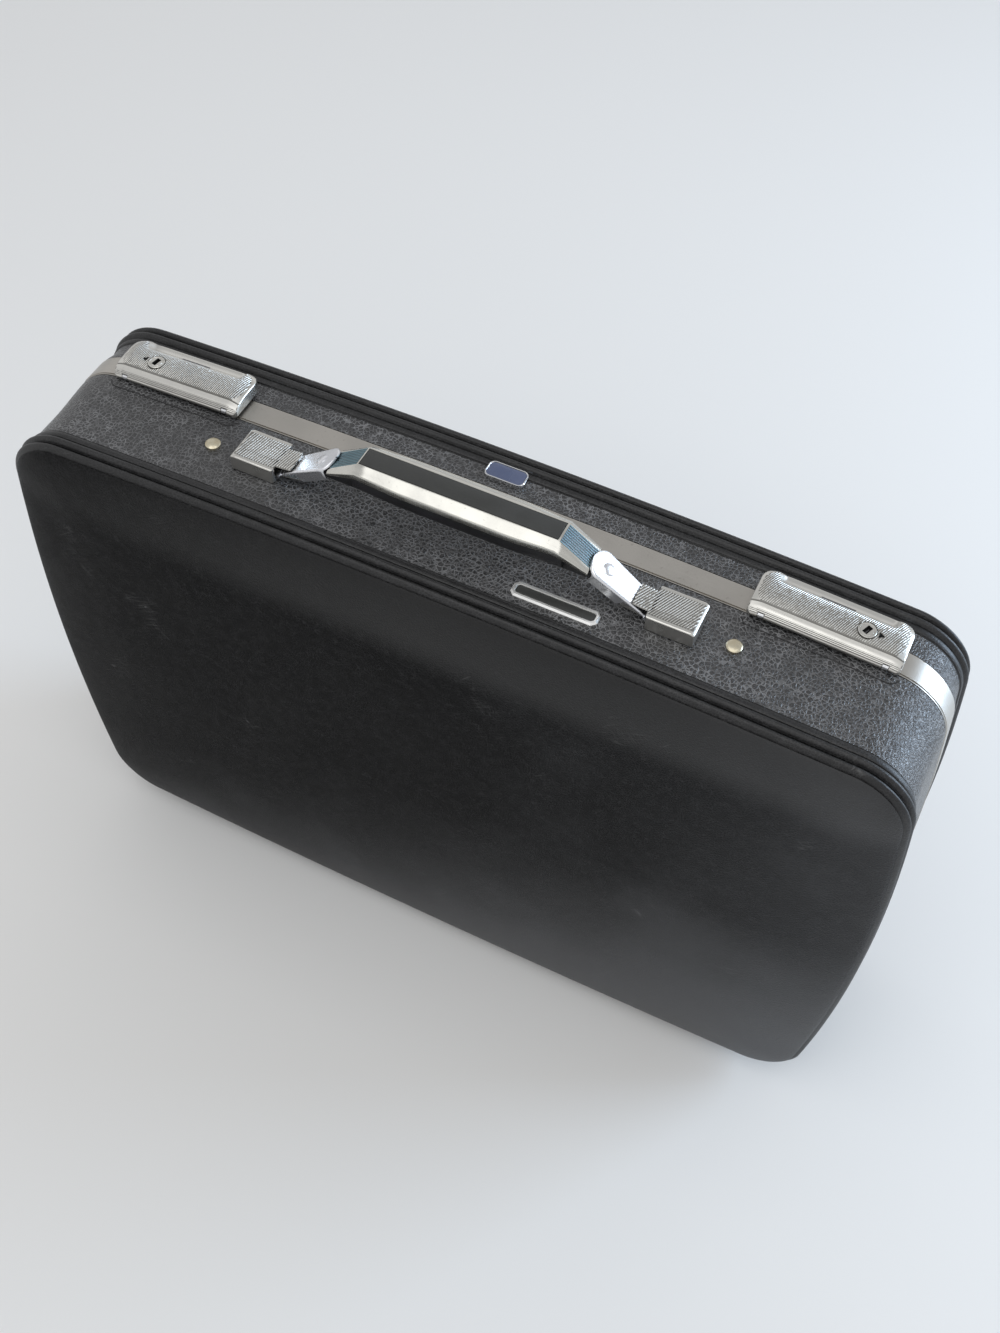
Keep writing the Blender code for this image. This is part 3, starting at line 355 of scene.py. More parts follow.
finish = {
    "plainGloss": 0.5,
    "topHighlightGloss": 0.16,
    "wallCells": 430.0,
    "faceCells": 640.0,
    "wallCrease": (0.165, 0.167, 0.172),
    "wallPebble": (0.007, 0.007, 0.008),
    "faceCrease": (0.022, 0.022, 0.023),
    "facePebble": (0.0035, 0.0035, 0.0038),
    # painted highlight: the paler colour laid along the top of the face
    "topHighlightTone": (0.020, 0.020, 0.020),
    # painted sheen: the paler colour laid on the lower right of the face
    "paintedSheenTone": (0.070, 0.072, 0.076),
    "scuffTone": (0.22, 0.22, 0.22),
    "wallRelief": 0.00034,
    "faceRelief": 0.45,  # share of the wall's relief
    "beadRelief": 0.22,
    "wallGloss": 0.9,
    "faceGloss": 0.04,
    "paintedSheenGloss": 0.25,
    "faceRough": 0.40,
    "wallRough": 0.28,
    "cloudRough": 0.08,
    "paintedSheenFrom": 0.2,  # height over the floor below which the face is painted paler, a painted sheen
    "paintedSheenDepth": 0.75,
    "paintedSheenLean": 1.7,  # how much more of the painted sheen there is towards the right
    "paintedSheenCloud": 0.08,
    "paintedSheenFull": 1.1,
    "topHighlightHeights": (0.308, 0.335),
    "topHighlightAcross": (-0.22, 0.0),
    "topHighlightLeft": 0.25,
    "topHighlightShare": 0.8,
    "scuffTurn": 2.2,
    "scuffRarity": (0.62, 0.66),
    "scuffShare": 0.35,
}


def grainedShell():
    material, tree, shader, coordinates = startMaterial("grainedShell", 0.0)
    here = (coordinates, "Object")
    wallGrain = useGroup(tree, mouldedGrain, {"Vector": here, "Cells": finish["wallCells"]})
    faceGrain = useGroup(tree, mouldedGrain, {"Vector": here, "Cells": finish["faceCells"], "Pores": 3400.0})
    kind = (addNode(tree, "ShaderNodeAttribute", attribute_name="grain"), "Fac")
    onWall = ranged(tree, kind, 0.62, 0.9, 0.0, 1.0)
    offBead = ranged(tree, kind, 0.1, 0.4, 0.0, 1.0)
    onFace = maths(tree, "MULTIPLY", offBead, maths(tree, "SUBTRACT", 1.0, onWall))
    wallShare = ranged(tree, onWall, 0.0, 1.0, finish["beadRelief"], 1.0)
    relief = maths(tree, "MULTIPLY", (wallGrain, "Height"), wallShare)
    faceShare = maths(tree, "MULTIPLY", onFace, finish["faceRelief"])
    shallow = maths(tree, "MULTIPLY", (faceGrain, "Height"), faceShare)
    worn = useGroup(tree, handling, {"Vector": here, "Patches": 11.0})
    fading = ranged(tree, (worn, "Cloud"), 0.0, 1.0, 1.0, 0.45)
    wallTone = mixColour(
        tree,
        maths(tree, "MULTIPLY", (wallGrain, "Crease"), fading),
        (*finish["wallPebble"], 1),
        (*finish["wallCrease"], 1),
    )
    faceTone = mixColour(tree, (faceGrain, "Crease"), (*finish["facePebble"], 1), (*finish["faceCrease"], 1))
    place = addNode(tree, "ShaderNodeSeparateXYZ", {"Vector": here})
    # Painted sheen: the face is painted paler and glossier towards the bottom and the right, standing in for
    # a reflection
    lower = ranged(tree, (place, "Z"), finish["paintedSheenFrom"], 0.0, 0.0, finish["paintedSheenDepth"])
    righter = maths(tree, "ADD", lower, maths(tree, "MULTIPLY", (place, "X"), finish["paintedSheenLean"]))
    drifting = ranged(tree, (worn, "Cloud"), 0.0, 1.0, -finish["paintedSheenCloud"], finish["paintedSheenCloud"])
    cloudy = maths(tree, "ADD", righter, drifting)
    sheenRamp = ranged(tree, cloudy, 0.0, finish["paintedSheenFull"], 0.0, 1.0, smooth=True)
    paintedSheen = maths(tree, "MULTIPLY", sheenRamp, onFace)
    # Painted highlight: a paler, glossier band along the top of the face, stronger towards the right, where
    # it turns up to the light
    nearTop = ranged(tree, (place, "Z"), *finish["topHighlightHeights"], 0.0, 1.0, smooth=True)
    topHighlightBand = maths(tree, "MULTIPLY", nearTop, onFace)
    nearRight = ranged(tree, (place, "X"), *finish["topHighlightAcross"], finish["topHighlightLeft"], 1.0)
    topHighlightBand = maths(tree, "MULTIPLY", topHighlightBand, nearRight)
    topHighlightMix = maths(tree, "MULTIPLY", topHighlightBand, finish["topHighlightShare"])
    faceTone = mixColour(tree, topHighlightMix, faceTone, (*finish["topHighlightTone"], 1))
    tone = mixColour(tree, onWall, faceTone, wallTone)
    tone = mixColour(tree, paintedSheen, tone, (*finish["paintedSheenTone"], 1))
    flatRarity, steepRarity = finish["scuffRarity"]
    flat = useGroup(tree, scuffs, {"Vector": here, "Rarity": flatRarity})
    steep = useGroup(tree, scuffs, {"Vector": here, "Turn": finish["scuffTurn"], "Rarity": steepRarity})
    scratched = maths(tree, "MAXIMUM", (flat, "Mask"), (steep, "Mask"))
    scuffed = maths(tree, "MULTIPLY", scratched, finish["scuffShare"])
    join(tree, mixColour(tree, scuffed, tone, (*finish["scuffTone"], 1)), shader, "Base Color")
    gloss = ranged(tree, onFace, 0.0, 1.0, finish["plainGloss"], finish["faceGloss"])
    gloss = maths(tree, "ADD", gloss, maths(tree, "MULTIPLY", paintedSheen, finish["paintedSheenGloss"]))
    wallExtra = finish["wallGloss"] - finish["plainGloss"]
    gloss = maths(tree, "ADD", gloss, maths(tree, "MULTIPLY", onWall, wallExtra))
    gloss = maths(tree, "ADD", gloss, maths(tree, "MULTIPLY", topHighlightBand, finish["topHighlightGloss"]))
    join(tree, gloss, shader, "Specular IOR Level")
    rough = ranged(tree, onWall, 0.0, 1.0, finish["faceRough"], finish["wallRough"])
    rough = maths(tree, "ADD", rough, maths(tree, "MULTIPLY", (worn, "Cloud"), finish["cloudRough"]))
    join(tree, rough, shader, "Roughness")
    setBump(tree, shader, maths(tree, "ADD", relief, shallow), finish["wallRelief"])
    return material


def metal(name, colour, tint, roughness, roughSpan, patches=45.0, bump=0.000010):
    material, tree, shader, coordinates = startMaterial(name, 1.0)
    marks = useGroup(tree, handling, {"Vector": (coordinates, "Object"), "Patches": patches})
    toned = mixColour(tree, (marks, "Cloud"), (*colour, 1), (*tint, 1))
    darker = (*[part * 0.35 for part in colour], 1)
    specked = mixColour(tree, maths(tree, "MULTIPLY", (marks, "Speck"), 0.3), toned, darker)
    join(tree, specked, shader, "Base Color")
    rough = ranged(tree, (marks, "Cloud"), 0.0, 1.0, roughness, roughness + roughSpan)
    join(tree, rough, shader, "Roughness")
    setBump(tree, shader, (marks, "Cloud"), bump)
    return material


def brushedBand():
    material, tree, shader, coordinates = startMaterial("brushedBand", 1.0)
    lines = useGroup(tree, brushing, {"Vector": (coordinates, "UV")})
    marks = useGroup(tree, handling, {"Vector": (coordinates, "Object"), "Patches": 30.0, "Specks": 420.0})
    toned = mixColour(tree, (marks, "Cloud"), (0.45, 0.43, 0.395, 1), (0.51, 0.485, 0.445, 1))
    lined = mixColour(tree, maths(tree, "MULTIPLY", (lines, "Lines"), 0.4), toned, (0.37, 0.35, 0.32, 1))
    spotted = mixColour(tree, maths(tree, "MULTIPLY", (marks, "Speck"), 0.25), lined, (0.2, 0.18, 0.15, 1))
    join(tree, spotted, shader, "Base Color")
    join(tree, ranged(tree, (lines, "Lines"), 0.3, 0.7, 0.30, 0.44), shader, "Roughness")
    setBump(tree, shader, (lines, "Lines"), 0.000018)
    return material


def mouldedPlastic(name, colour, lighter, roughness, cells=1400.0, bump=0.00004):
    material, tree, shader, coordinates = startMaterial(name, 0.0, 0.42)
    grain = useGroup(tree, mouldedGrain, {"Vector": (coordinates, "Object"), "Cells": cells, "Pores": 5200.0})
    marks = useGroup(tree, handling, {"Vector": (coordinates, "Object"), "Patches": 60.0})
    join(tree, mixColour(tree, (marks, "Cloud"), (*colour, 1), (*lighter, 1)), shader, "Base Color")
    join(tree, ranged(tree, (marks, "Cloud"), 0.0, 1.0, roughness, roughness + 0.12), shader, "Roughness")
    setBump(tree, shader, (grain, "Height"), bump)
    return material


def wovenLining():
    material, tree, shader, coordinates = startMaterial("wovenLining", 0.0, 0.25)
    cloth = useGroup(tree, weave, {"Vector": (coordinates, "Object")})
    thread = mixColour(tree, (cloth, "Height"), (0.27, 0.235, 0.185, 1), (0.46, 0.41, 0.335, 1))
    toned = mixColour(tree, maths(tree, "MULTIPLY", (cloth, "Tone"), 0.6), thread, (0.36, 0.33, 0.27, 1))
    join(tree, toned, shader, "Base Color")
    join(tree, ranged(tree, (cloth, "Height"), 0.0, 1.0, 0.92, 0.78), shader, "Roughness")
    shader.inputs["Sheen Weight"].default_value = 0.3
    setBump(tree, shader, (cloth, "Height"), 0.00018)
    return material


shellFinish = grainedShell()
bandFinish = brushedBand()
chromeFinish = metal("chrome", (0.88, 0.89, 0.90), (0.80, 0.81, 0.83), 0.14, 0.12)
creamFinish = metal("creamChrome", (0.66, 0.65, 0.60), (0.58, 0.57, 0.53), 0.16, 0.10)
linkFinish = metal("linkChrome", (0.80, 0.81, 0.84), (0.72, 0.73, 0.76), 0.24, 0.08)
satinFinish = metal("satinNickel", (0.66, 0.65, 0.61), (0.58, 0.57, 0.54), 0.26, 0.12)
ribFinish = metal("ribNickel", (0.70, 0.69, 0.65), (0.62, 0.61, 0.58), 0.34, 0.12)
# painted shade: darker metal for the cover faces between the ribs and in the latch's crease and front grooves
shadedValleyFinish = metal("ribValleyPaintedShade", (0.27, 0.265, 0.25), (0.20, 0.195, 0.18), 0.34, 0.12)
# painted reflection: the flutes' chrome is coloured a dark blue-green, standing in for reflected sky
fluteSkyReflectionFinish = metal("fluteChromeSkyReflection", (0.20, 0.30, 0.335), (0.15, 0.25, 0.29), 0.20, 0.12)
frameFinish = metal("frameChrome", (0.90, 0.90, 0.88), (0.82, 0.82, 0.80), 0.40, 0.10)
steelFinish = metal("darkSteel", (0.19, 0.19, 0.20), (0.12, 0.12, 0.13), 0.30, 0.2)
# painted shade: near-black for the faces the cuts leave in covers and lock (lock ring, key slot, arrow,
# notches, mount mouth)
shadedHollowFinish = mouldedPlastic("paintedShadeHollow", (0.006, 0.006, 0.006), (0.010, 0.010, 0.010), 0.6)
inlayFinish = mouldedPlastic("blackInlay", (0.030, 0.031, 0.029), (0.036, 0.037, 0.035), 0.38)
coreFinish = mouldedPlastic("blackGrip", (0.008, 0.008, 0.009), (0.012, 0.012, 0.014), 0.28)
rubberFinish = mouldedPlastic("footRubber", (0.018, 0.018, 0.018), (0.03, 0.03, 0.03), 0.7, 1100.0, 0.0001)
liningFinish = wovenLining()
rivetFinish = metal("creamRivet", (0.66, 0.61, 0.47), (0.55, 0.49, 0.36), 0.28, 0.2, 300.0)
badgeFinish = mouldedPlastic("slateEnamel", (0.075, 0.095, 0.17), (0.095, 0.115, 0.19), 0.22)
print("materials made")


# Meshes
def makeObject(name, mesh, materials=()):
    obj = bpy.data.objects.new(name, mesh)
    bpy.context.scene.collection.objects.link(obj)
    for material in materials:
        mesh.materials.append(material)
    return obj


def fromSketch(name, bm, materials, isSheet=False):
    bmesh.ops.recalc_face_normals(bm, faces=bm.faces)
    if isSheet:
        inward = sum(face.normal.z * face.calc_area() for face in bm.faces) < 0
    else:
        inward = bm.calc_volume(signed=True) < 0
    if inward:
        bmesh.ops.reverse_faces(bm, faces=bm.faces)
    mesh = bpy.data.meshes.new(name)
    bm.to_mesh(mesh)
    bm.free()
    return makeObject(name, mesh, materials)


def shade(obj, smoothAngle=32.0):
    obj.data.shade_smooth()
    obj.data.set_sharp_from_angle(angle=math.radians(smoothAngle))
    return obj


def settle(obj):  # modifiers and placing become plain mesh
    bpy.context.view_layer.update()
    evaluated = obj.evaluated_get(bpy.context.evaluated_depsgraph_get())
    mesh = bpy.data.meshes.new_from_object(evaluated)
    obj.modifiers.clear()
    mesh.transform(obj.matrix_world)
    obj.data = mesh
    obj.matrix_world = Matrix.Identity(4)
    return obj


def dress(obj, body, nodes=(), smoothAngle=32.0):
    shade(obj, smoothAngle)
    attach(obj, body)
    if nodes:
        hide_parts(*nodes)
    return obj


def thicken(obj, thickness):
    solid = obj.modifiers.new("thickness", "SOLIDIFY")
    solid.thickness = thickness
    solid.offset = -1
    solid.use_even_offset = True
    return settle(obj)


def roundEdges(obj, width, segments=2, angle=35.0):
    bevel = obj.modifiers.new("edges", "BEVEL")
    bevel.width = width
    bevel.segments = segments
    bevel.limit_method = "ANGLE"
    bevel.angle_limit = math.radians(angle)
    return settle(obj)


def cutWith(obj, *cutters):
    for cutter in cutters:
        modifier = obj.modifiers.new("cut", "BOOLEAN")
        modifier.operation = "DIFFERENCE"
        modifier.solver = "EXACT"
        modifier.material_mode = "TRANSFER"
        modifier.object = cutter
    settle(obj)
    for cutter in cutters:
        bpy.data.objects.remove(cutter)
    return obj


upward = 0.6  # least Z of the normal of a face that takes a top finish


# Faces whose centre and normal pass take this material
def refinish(obj, material, isThere):
    obj.data.materials.append(material)
    number = len(obj.data.materials) - 1
    for face in obj.data.polygons:
        if isThere(face.center, face.normal):
            face.material_index = number


def merge(name, *pieces):
    bm = bmesh.new()
    materials = []
    for piece in pieces:
        start = len(bm.faces)
        bm.from_mesh(piece.data)
        bm.faces.ensure_lookup_table()
        for face in bm.faces[start:]:
            finishHere = piece.data.materials[face.material_index]
            if finishHere not in materials:
                materials.append(finishHere)
            face.material_index = materials.index(finishHere)
        bpy.data.objects.remove(piece)
    mesh = bpy.data.meshes.new(name)
    bm.to_mesh(mesh)
    bm.free()
    return makeObject(name, mesh, materials)


def boxSketch(name, low, high, material):
    bm = bmesh.new()
    bmesh.ops.create_cube(bm, size=1)
    for vert in bm.verts:
        vert.co = Vector([lerp(low[axis], high[axis], vert.co[axis] + 0.5) for axis in range(3)])
    return fromSketch(name, bm, [material])


def gridSheet(name, rows, materials, thickness=None):
    bm = bmesh.new()
    verts = [[bm.verts.new(point) for point in row] for row in rows]
    for low, high in zip(verts, verts[1:]):
        for here in range(len(low) - 1):
            bm.faces.new((low[here], low[here + 1], high[here + 1], high[here]))
    bmesh.ops.remove_doubles(bm, verts=bm.verts, dist=1e-7)
    bmesh.ops.dissolve_degenerate(bm, dist=1e-8, edges=bm.edges)
    sheet = fromSketch(name, bm, materials, isSheet=True)
    return thicken(sheet, thickness) if thickness else sheet


# An open-bottomed cover, its inside a smaller copy of its outside
def hollowShell(name, rows, material, wall):
    points = [point for row in rows for point in row]
    low = Vector([min(point[axis] for point in points) for axis in range(3)])
    high = Vector([max(point[axis] for point in points) for axis in range(3)])
    centre = Vector(((low.x + high.x) / 2, (low.y + high.y) / 2, low.z))
    shrink = [1 - 2 * wall / (high.x - low.x), 1 - 2 * wall / (high.y - low.y), 1 - wall / (high.z - low.z)]
    bm = bmesh.new()
    layers = []
    for scale in ((1, 1, 1), shrink):
        layer = []
        for row in rows:
            moved = [[centre[i] + (point[i] - centre[i]) * scale[i] for i in range(3)] for point in row]
            layer.append([bm.verts.new(place) for place in moved])
        layers.append(layer)
    outer, inner = layers
    for layer, order in ((outer, 1), (inner, -1)):
        for lower, upper in zip(layer, layer[1:]):
            for here in range(len(lower) - 1):
                corners = (lower[here], lower[here + 1], upper[here + 1], upper[here])
                bm.faces.new(corners[::order])
    loops = []
    for layer in layers:
        around = list(layer[0]) + [row[-1] for row in layer[1:]] + list(reversed(layer[-1]))[1:]
        loops.append(around + [row[0] for row in reversed(layer[1:-1])])
    for here in range(len(loops[0])):
        after = (here + 1) % len(loops[0])
        bm.faces.new((loops[0][after], loops[0][here], loops[1][here], loops[1][after]))
    bmesh.ops.remove_doubles(bm, verts=bm.verts, dist=1e-7)
    bmesh.ops.dissolve_degenerate(bm, dist=1e-8, edges=bm.edges)
    return fromSketch(name, bm, [material])


def lathe(name, profile, materials, segments=48):  # profile of (radius, height) points round Z
    bm = bmesh.new()
    rings = []
    for radius, height in profile:
        if radius < 1e-7:
            rings.append([bm.verts.new((0, 0, height))])
            continue
        ring = []
        for step in range(segments):
            angle = 2 * math.pi * step / segments
            ring.append(bm.verts.new((radius * math.cos(angle), radius * math.sin(angle), height)))
        rings.append(ring)
    for low, high in zip(rings, rings[1:]):
        for here in range(segments):
            after = (here + 1) % segments
            if len(low) == 1:
                bm.faces.new((low[0], high[here], high[after]))
            elif len(high) == 1:
                bm.faces.new((low[here], low[after], high[0]))
            else:
                bm.faces.new((low[here], low[after], high[after], high[here]))
    return fromSketch(name, bm, materials)


def loftThrough(name, sections, materials):  # closed sections in order, capped at both ends
    bm = bmesh.new()
    rings = [[bm.verts.new(point) for point in section] for section in sections]
    for low, high in zip(rings, rings[1:]):
        for here in range(len(low)):
            after = (here + 1) % len(low)
            bm.faces.new((low[here], low[after], high[after], high[here]))
    bm.faces.new(rings[0])
    bm.faces.new(rings[-1])
    return fromSketch(name, bm, materials)


def tubeAlong(name, points, radius, materials, closed=False, sides=8):
    curve = bpy.data.curves.new(name, "CURVE")
    curve.dimensions = "3D"
    curve.bevel_depth = radius
    curve.bevel_resolution = max(sides // 4 - 1, 0)
    curve.use_fill_caps = True
    line = curve.splines.new("POLY")
    line.points.add(len(points) - 1)
    for point, place in zip(line.points, points):
        point.co = (*place, 1)
    line.use_cyclic_u = closed
    obj = bpy.data.objects.new(name, curve)
    bpy.context.scene.collection.objects.link(obj)
    bpy.context.view_layer.update()
    mesh = bpy.data.meshes.new_from_object(obj.evaluated_get(bpy.context.evaluated_depsgraph_get()))
    bpy.data.objects.remove(obj)
    return makeObject(name, mesh, materials)


# Geometry Nodes: ribs that follow a surface, and one piece repeated in a row
def pointRow(group, given):
    links = {"Count": (given, "Count"), "Start Location": (given, "Start"), "Offset": (given, "Step")}
    return addNode(group, "GeometryNodeMeshLine", links)


def finishGroup(group, given, result, geometry):
    whole = addNode(group, "GeometryNodeRealizeInstances", {"Geometry": geometry})
    links = {"Geometry": (whole, "Geometry"), "Material": (given, "Finish")}
    made = addNode(group, "GeometryNodeSetMaterial", links)
    join(group, (made, "Geometry"), result, "Geometry")
    return group


def ribGroup():
    group, given, result = startGroup(
        "ribs",
        [
            ("Surface", "NodeSocketObject", None),
            ("Count", "NodeSocketInt", 20),
            ("Start", "NodeSocketVector", None),
            ("Step", "NodeSocketVector", None),
            ("Run", "NodeSocketVector", None),
            ("Samples", "NodeSocketInt", 40),
            ("Radius", "NodeSocketFloat", 0.0003),
            ("Sink", "NodeSocketFloat", 0.0),
            ("Least Height", "NodeSocketFloat", -1.0),
            ("Finish", "NodeSocketMaterial", None),
        ],
        [("Geometry", "NodeSocketGeometry")],
        "GeometryNodeTree",
    )
    row = pointRow(group, given)
    rib = addNode(group, "GeometryNodeCurvePrimitiveLine", {"End": (given, "Run")})
    fine = addNode(group, "GeometryNodeResampleCurve", {"Curve": (rib, "Curve"), "Count": (given, "Samples")})
    links = {"Points": (row, "Mesh"), "Instance": (fine, "Curve")}
    placed = addNode(group, "GeometryNodeInstanceOnPoints", links)
    plain = addNode(group, "GeometryNodeRealizeInstances", {"Geometry": (placed, "Instances")})
    edges = addNode(group, "GeometryNodeCurveToMesh", {"Curve": (plain, "Geometry")})
    target = addNode(group, "GeometryNodeObjectInfo", {"Object": (given, "Surface")})
    here = addNode(group, "GeometryNodeInputPosition")
    above = addNode(group, "ShaderNodeVectorMath", {0: (here, "Position"), 1: (0, 0, 0.05)}, operation="ADD")
    ray = addNode(
        group,
        "GeometryNodeRaycast",
        {
            "Target Geometry": (target, "Geometry"),
            "Source Position": (above, "Vector"),
            "Ray Direction": (0, 0, -1),
            "Ray Length": 0.2,
        },
    )
    drop = addNode(group, "ShaderNodeCombineXYZ", {"Z": maths(group, "MULTIPLY", (given, "Sink"), -1.0)})
    laid = addNode(
        group,
        "GeometryNodeSetPosition",
        {"Geometry": (edges, "Mesh"), "Position": (ray, "Hit Position"), "Selection": (ray, "Is Hit")},
    )
    height = addNode(group, "ShaderNodeSeparateXYZ", {"Vector": (ray, "Hit Position")})
    links = {0: (height, "Z"), 1: (given, "Least Height")}
    low = addNode(group, "FunctionNodeCompare", links, operation="LESS_THAN")
    missed = addNode(group, "FunctionNodeBooleanMath", {0: (ray, "Is Hit")}, operation="NOT")
    links = {0: (low, "Result"), 1: (missed, "Boolean")}
    unwanted = addNode(group, "FunctionNodeBooleanMath", links, operation="OR")
    links = {"Geometry": (laid, "Geometry"), "Selection": (unwanted, "Boolean")}
    kept = addNode(group, "GeometryNodeDeleteGeometry", links)
    links = {"Geometry": (kept, "Geometry"), "Offset": (drop, "Vector")}
    sunk = addNode(group, "GeometryNodeSetPosition", links)
    lines = addNode(group, "GeometryNodeMeshToCurve", {"Mesh": (sunk, "Geometry")})
    links = {"Resolution": 6, "Radius": (given, "Radius")}
    profile = addNode(group, "GeometryNodeCurvePrimitiveCircle", links)
    tubes = addNode(
        group,
        "GeometryNodeCurveToMesh",
        {"Curve": (lines, "Curve"), "Profile Curve": (profile, "Curve"), "Fill Caps": True},
    )
    return finishGroup(group, given, result, (tubes, "Mesh"))


def rowGroup():
    group, given, result = startGroup(
        "rowOfPieces",
        [
            ("Piece", "NodeSocketObject", None),
            ("Count", "NodeSocketInt", 10),
            ("Start", "NodeSocketVector", None),
            ("Step", "NodeSocketVector", None),
            ("Finish", "NodeSocketMaterial", None),
        ],
        [("Geometry", "NodeSocketGeometry")],
        "GeometryNodeTree",
    )
    row = pointRow(group, given)
    piece = addNode(group, "GeometryNodeObjectInfo", {"Object": (given, "Piece")})
    links = {"Points": (row, "Mesh"), "Instance": (piece, "Geometry")}
    placed = addNode(group, "GeometryNodeInstanceOnPoints", links)
    return finishGroup(group, given, result, (placed, "Instances"))


ribs = ribGroup()
rowOfPieces = rowGroup()


def generate(name, group, values):
    obj = makeObject(name, bpy.data.meshes.new(name))
    modifier = obj.modifiers.new("make", "NODES")
    modifier.node_group = group
    for item in group.interface.items_tree:
        if item.item_type == "SOCKET" and item.in_out == "INPUT" and item.name in values:
            modifier[item.identifier] = values[item.name]
    return settle(obj)


def layRibs(name, surface, count, start, run, numbers):
    return generate(
        name,
        ribs,
        {
            "Surface": surface,
            "Count": count,
            "Start": start,
            "Step": (numbers["pitch"], 0.0, 0.0),
            "Run": run,
            "Samples": numbers["samples"],
            "Radius": numbers["radius"],
            "Sink": numbers["sink"],
            "Least Height": numbers["leastHeight"],
            "Finish": ribFinish,
        },
    )


print("mesh tools ready")


# One ring of the case's bowed outline, drawn in by the inset
def caseRing(inset, y):
    halfWidth = case["width"] / 2 - inset
    halfHeight = (case["top"] - case["foot"]) / 2 - inset
    radius = max(case["cornerRadius"] - inset, case["leastRadius"])
    corners = (
        (-1, 1, math.pi, case["longPoints"]),
        (1, 1, math.pi / 2, case["shortPoints"]),
        (1, -1, 0, case["longPoints"]),
        (-1, -1, -math.pi / 2, case["shortPoints"]),
    )
    arcs = []
    for sideX, sideZ, first, between in corners:
        arc = []
        for step in range(case["cornerPoints"] + 1):
            angle = first - math.pi / 2 * step / case["cornerPoints"]
            x = sideX * (halfWidth - radius) + radius * math.cos(angle)
            z = sideZ * (halfHeight - radius) + radius * math.sin(angle)
            arc.append((x, z))
        arcs.append((arc, between))
    flat = []
    for number, (arc, between) in enumerate(arcs):
        following = arcs[(number + 1) % len(arcs)][0][0]
        flat += arc
        for step in range(1, between + 1):
            share = step / (between + 1)
            flat.append((lerp(arc[-1][0], following[0], share), lerp(arc[-1][1], following[1], share)))
    ring = []
    for x, z in flat:
        outX = case["sideBow"] * (1 - min(abs(z) / halfHeight, 1) ** 2)
        outZ = case["topBow"] * (1 - min(abs(x) / halfWidth, 1) ** 2)
        shareX = min(abs(x) / (halfWidth - radius / 2), 1)
        shareZ = min(abs(z) / (halfHeight - radius / 2), 1)
        newX = x * (1 - case["sideBow"] / halfWidth) + math.copysign(outX * shareX, x)
        newZ = z * (1 - case["topBow"] / halfHeight) + math.copysign(outZ * shareZ, z)
        ring.append(Vector((newX, y, middleZ + newZ)))
    return ring


# A loft round the case through (inset, depth, grain) rings, with its UV in metres
def ringLoft(name, profile, material, closed=False):
    bm = bmesh.new()
    uvLayer = bm.loops.layers.uv.new("along")
    grainLayer = bm.verts.layers.float.new("grain")
    rings = []
    across = [0.0]
    for number, (inset, depth, grain) in enumerate(profile):
        ring = [bm.verts.new(point) for point in caseRing(inset, yAt(depth))]
        for vert in ring:
            vert[grainLayer] = grain
        rings.append(ring)
        if number:
            before = profile[number - 1]
            across.append(across[-1] + math.hypot(inset - before[0], depth - before[1]))
    first = rings[0]
    along = [0.0]
    for here in range(len(first)):
        along.append(along[-1] + (first[(here + 1) % len(first)].co - first[here].co).length)
    pairs = list(zip(range(len(rings) - 1), range(1, len(rings))))
    if closed:
        pairs.append((len(rings) - 1, 0))
        across.append(across[-1] + math.hypot(profile[0][0] - profile[-1][0], profile[0][1] - profile[-1][1]))
    for low, high in pairs:
        for here in range(len(first)):
            after = (here + 1) % len(first)
            face = bm.faces.new((rings[low][here], rings[low][after], rings[high][after], rings[high][here]))
            places = ((here, low), (here + 1, low), (here + 1, low + 1), (here, low + 1))
            for loop, (u, v) in zip(face.loops, places):
                loop[uvLayer].uv = (along[u], across[v])
    if not closed:
        bm.faces.new(rings[0])
        bm.faces.new(rings[-1])
    return fromSketch(name, bm, [material])


shell = {
    "crownRise": 0.0092,
    "crownReach": 0.077,
    "crownSteps": 16,
    "edgeInset": 0.0036,
    "edgeRise": 0.0052,
    "thickness": 0.003,
    "wallStart": 0.0104,
    "wallSteps": 12,
    "waistInset": 0.0028,
    "seamInset": 0.0015,
    "baseSeam": 0.0574,
    "lidSeam": 0.0735,
    "rabbetInset": 0.0029,
    "rabbetEnd": 0.0719,
    "lipInset": 0.0052,
    "innerInset": 0.0064,
    "cornerInset": 0.0095,
    "cornerDepth": 0.0022,
    "rimSeat": 0.0866,
}
grainShare = {"face": 0.5, "bead": 0.0, "wall": 1.0}


def swell(start, end, rise, steps, grain):  # a ridge, or a groove where the rise is negative
    points = []
    for share in spread(0, 1, steps):
        bulge = rise * math.sin(math.pi * share) ** 0.7
        points.append((lerp(start[0], end[0], share) - bulge, lerp(start[1], end[1], share), grain))
    return points


def crownDepth(inset):
    share = min(max(inset - shell["edgeInset"], 0) / shell["crownReach"], 1)
    return -shell["edgeRise"] - shell["crownRise"] * math.sqrt(1 - (1 - share) ** 2)


def facePoints(extraInset, thickness, grain):
    points = []
    for share in reversed(spread(0, 1, shell["crownSteps"])):
        inset = shell["edgeInset"] + shell["crownReach"] * max(share, 0.03) ** 1.8
        points.append((inset + extraInset, crownDepth(inset) + thickness, grain))
    return points


def beadPoints():
    bead = grainShare["bead"]
    points = swell((0.0037, -0.0058), (0.0035, -0.0049), -0.0007, 4, bead)
    points += swell((0.0033, -0.0048), (0.0024, -0.0008), 0.0019, 10, bead)
    points += swell((0.0026, -0.0006), (0.0024, 0.0003), -0.0009, 4, bead)
    points += swell((0.0024, 0.0005), (0.0020, 0.0050), 0.0019, 11, bead)
    points += swell((0.0022, 0.0052), (0.0022, 0.0057), -0.0004, 3, bead)
    points += swell((0.0020, 0.0059), (0.0021, 0.0092), 0.0003, 5, bead)
    points += swell((0.0022, 0.0094), (0.0026, 0.0102), -0.0004, 4, bead)
    return points


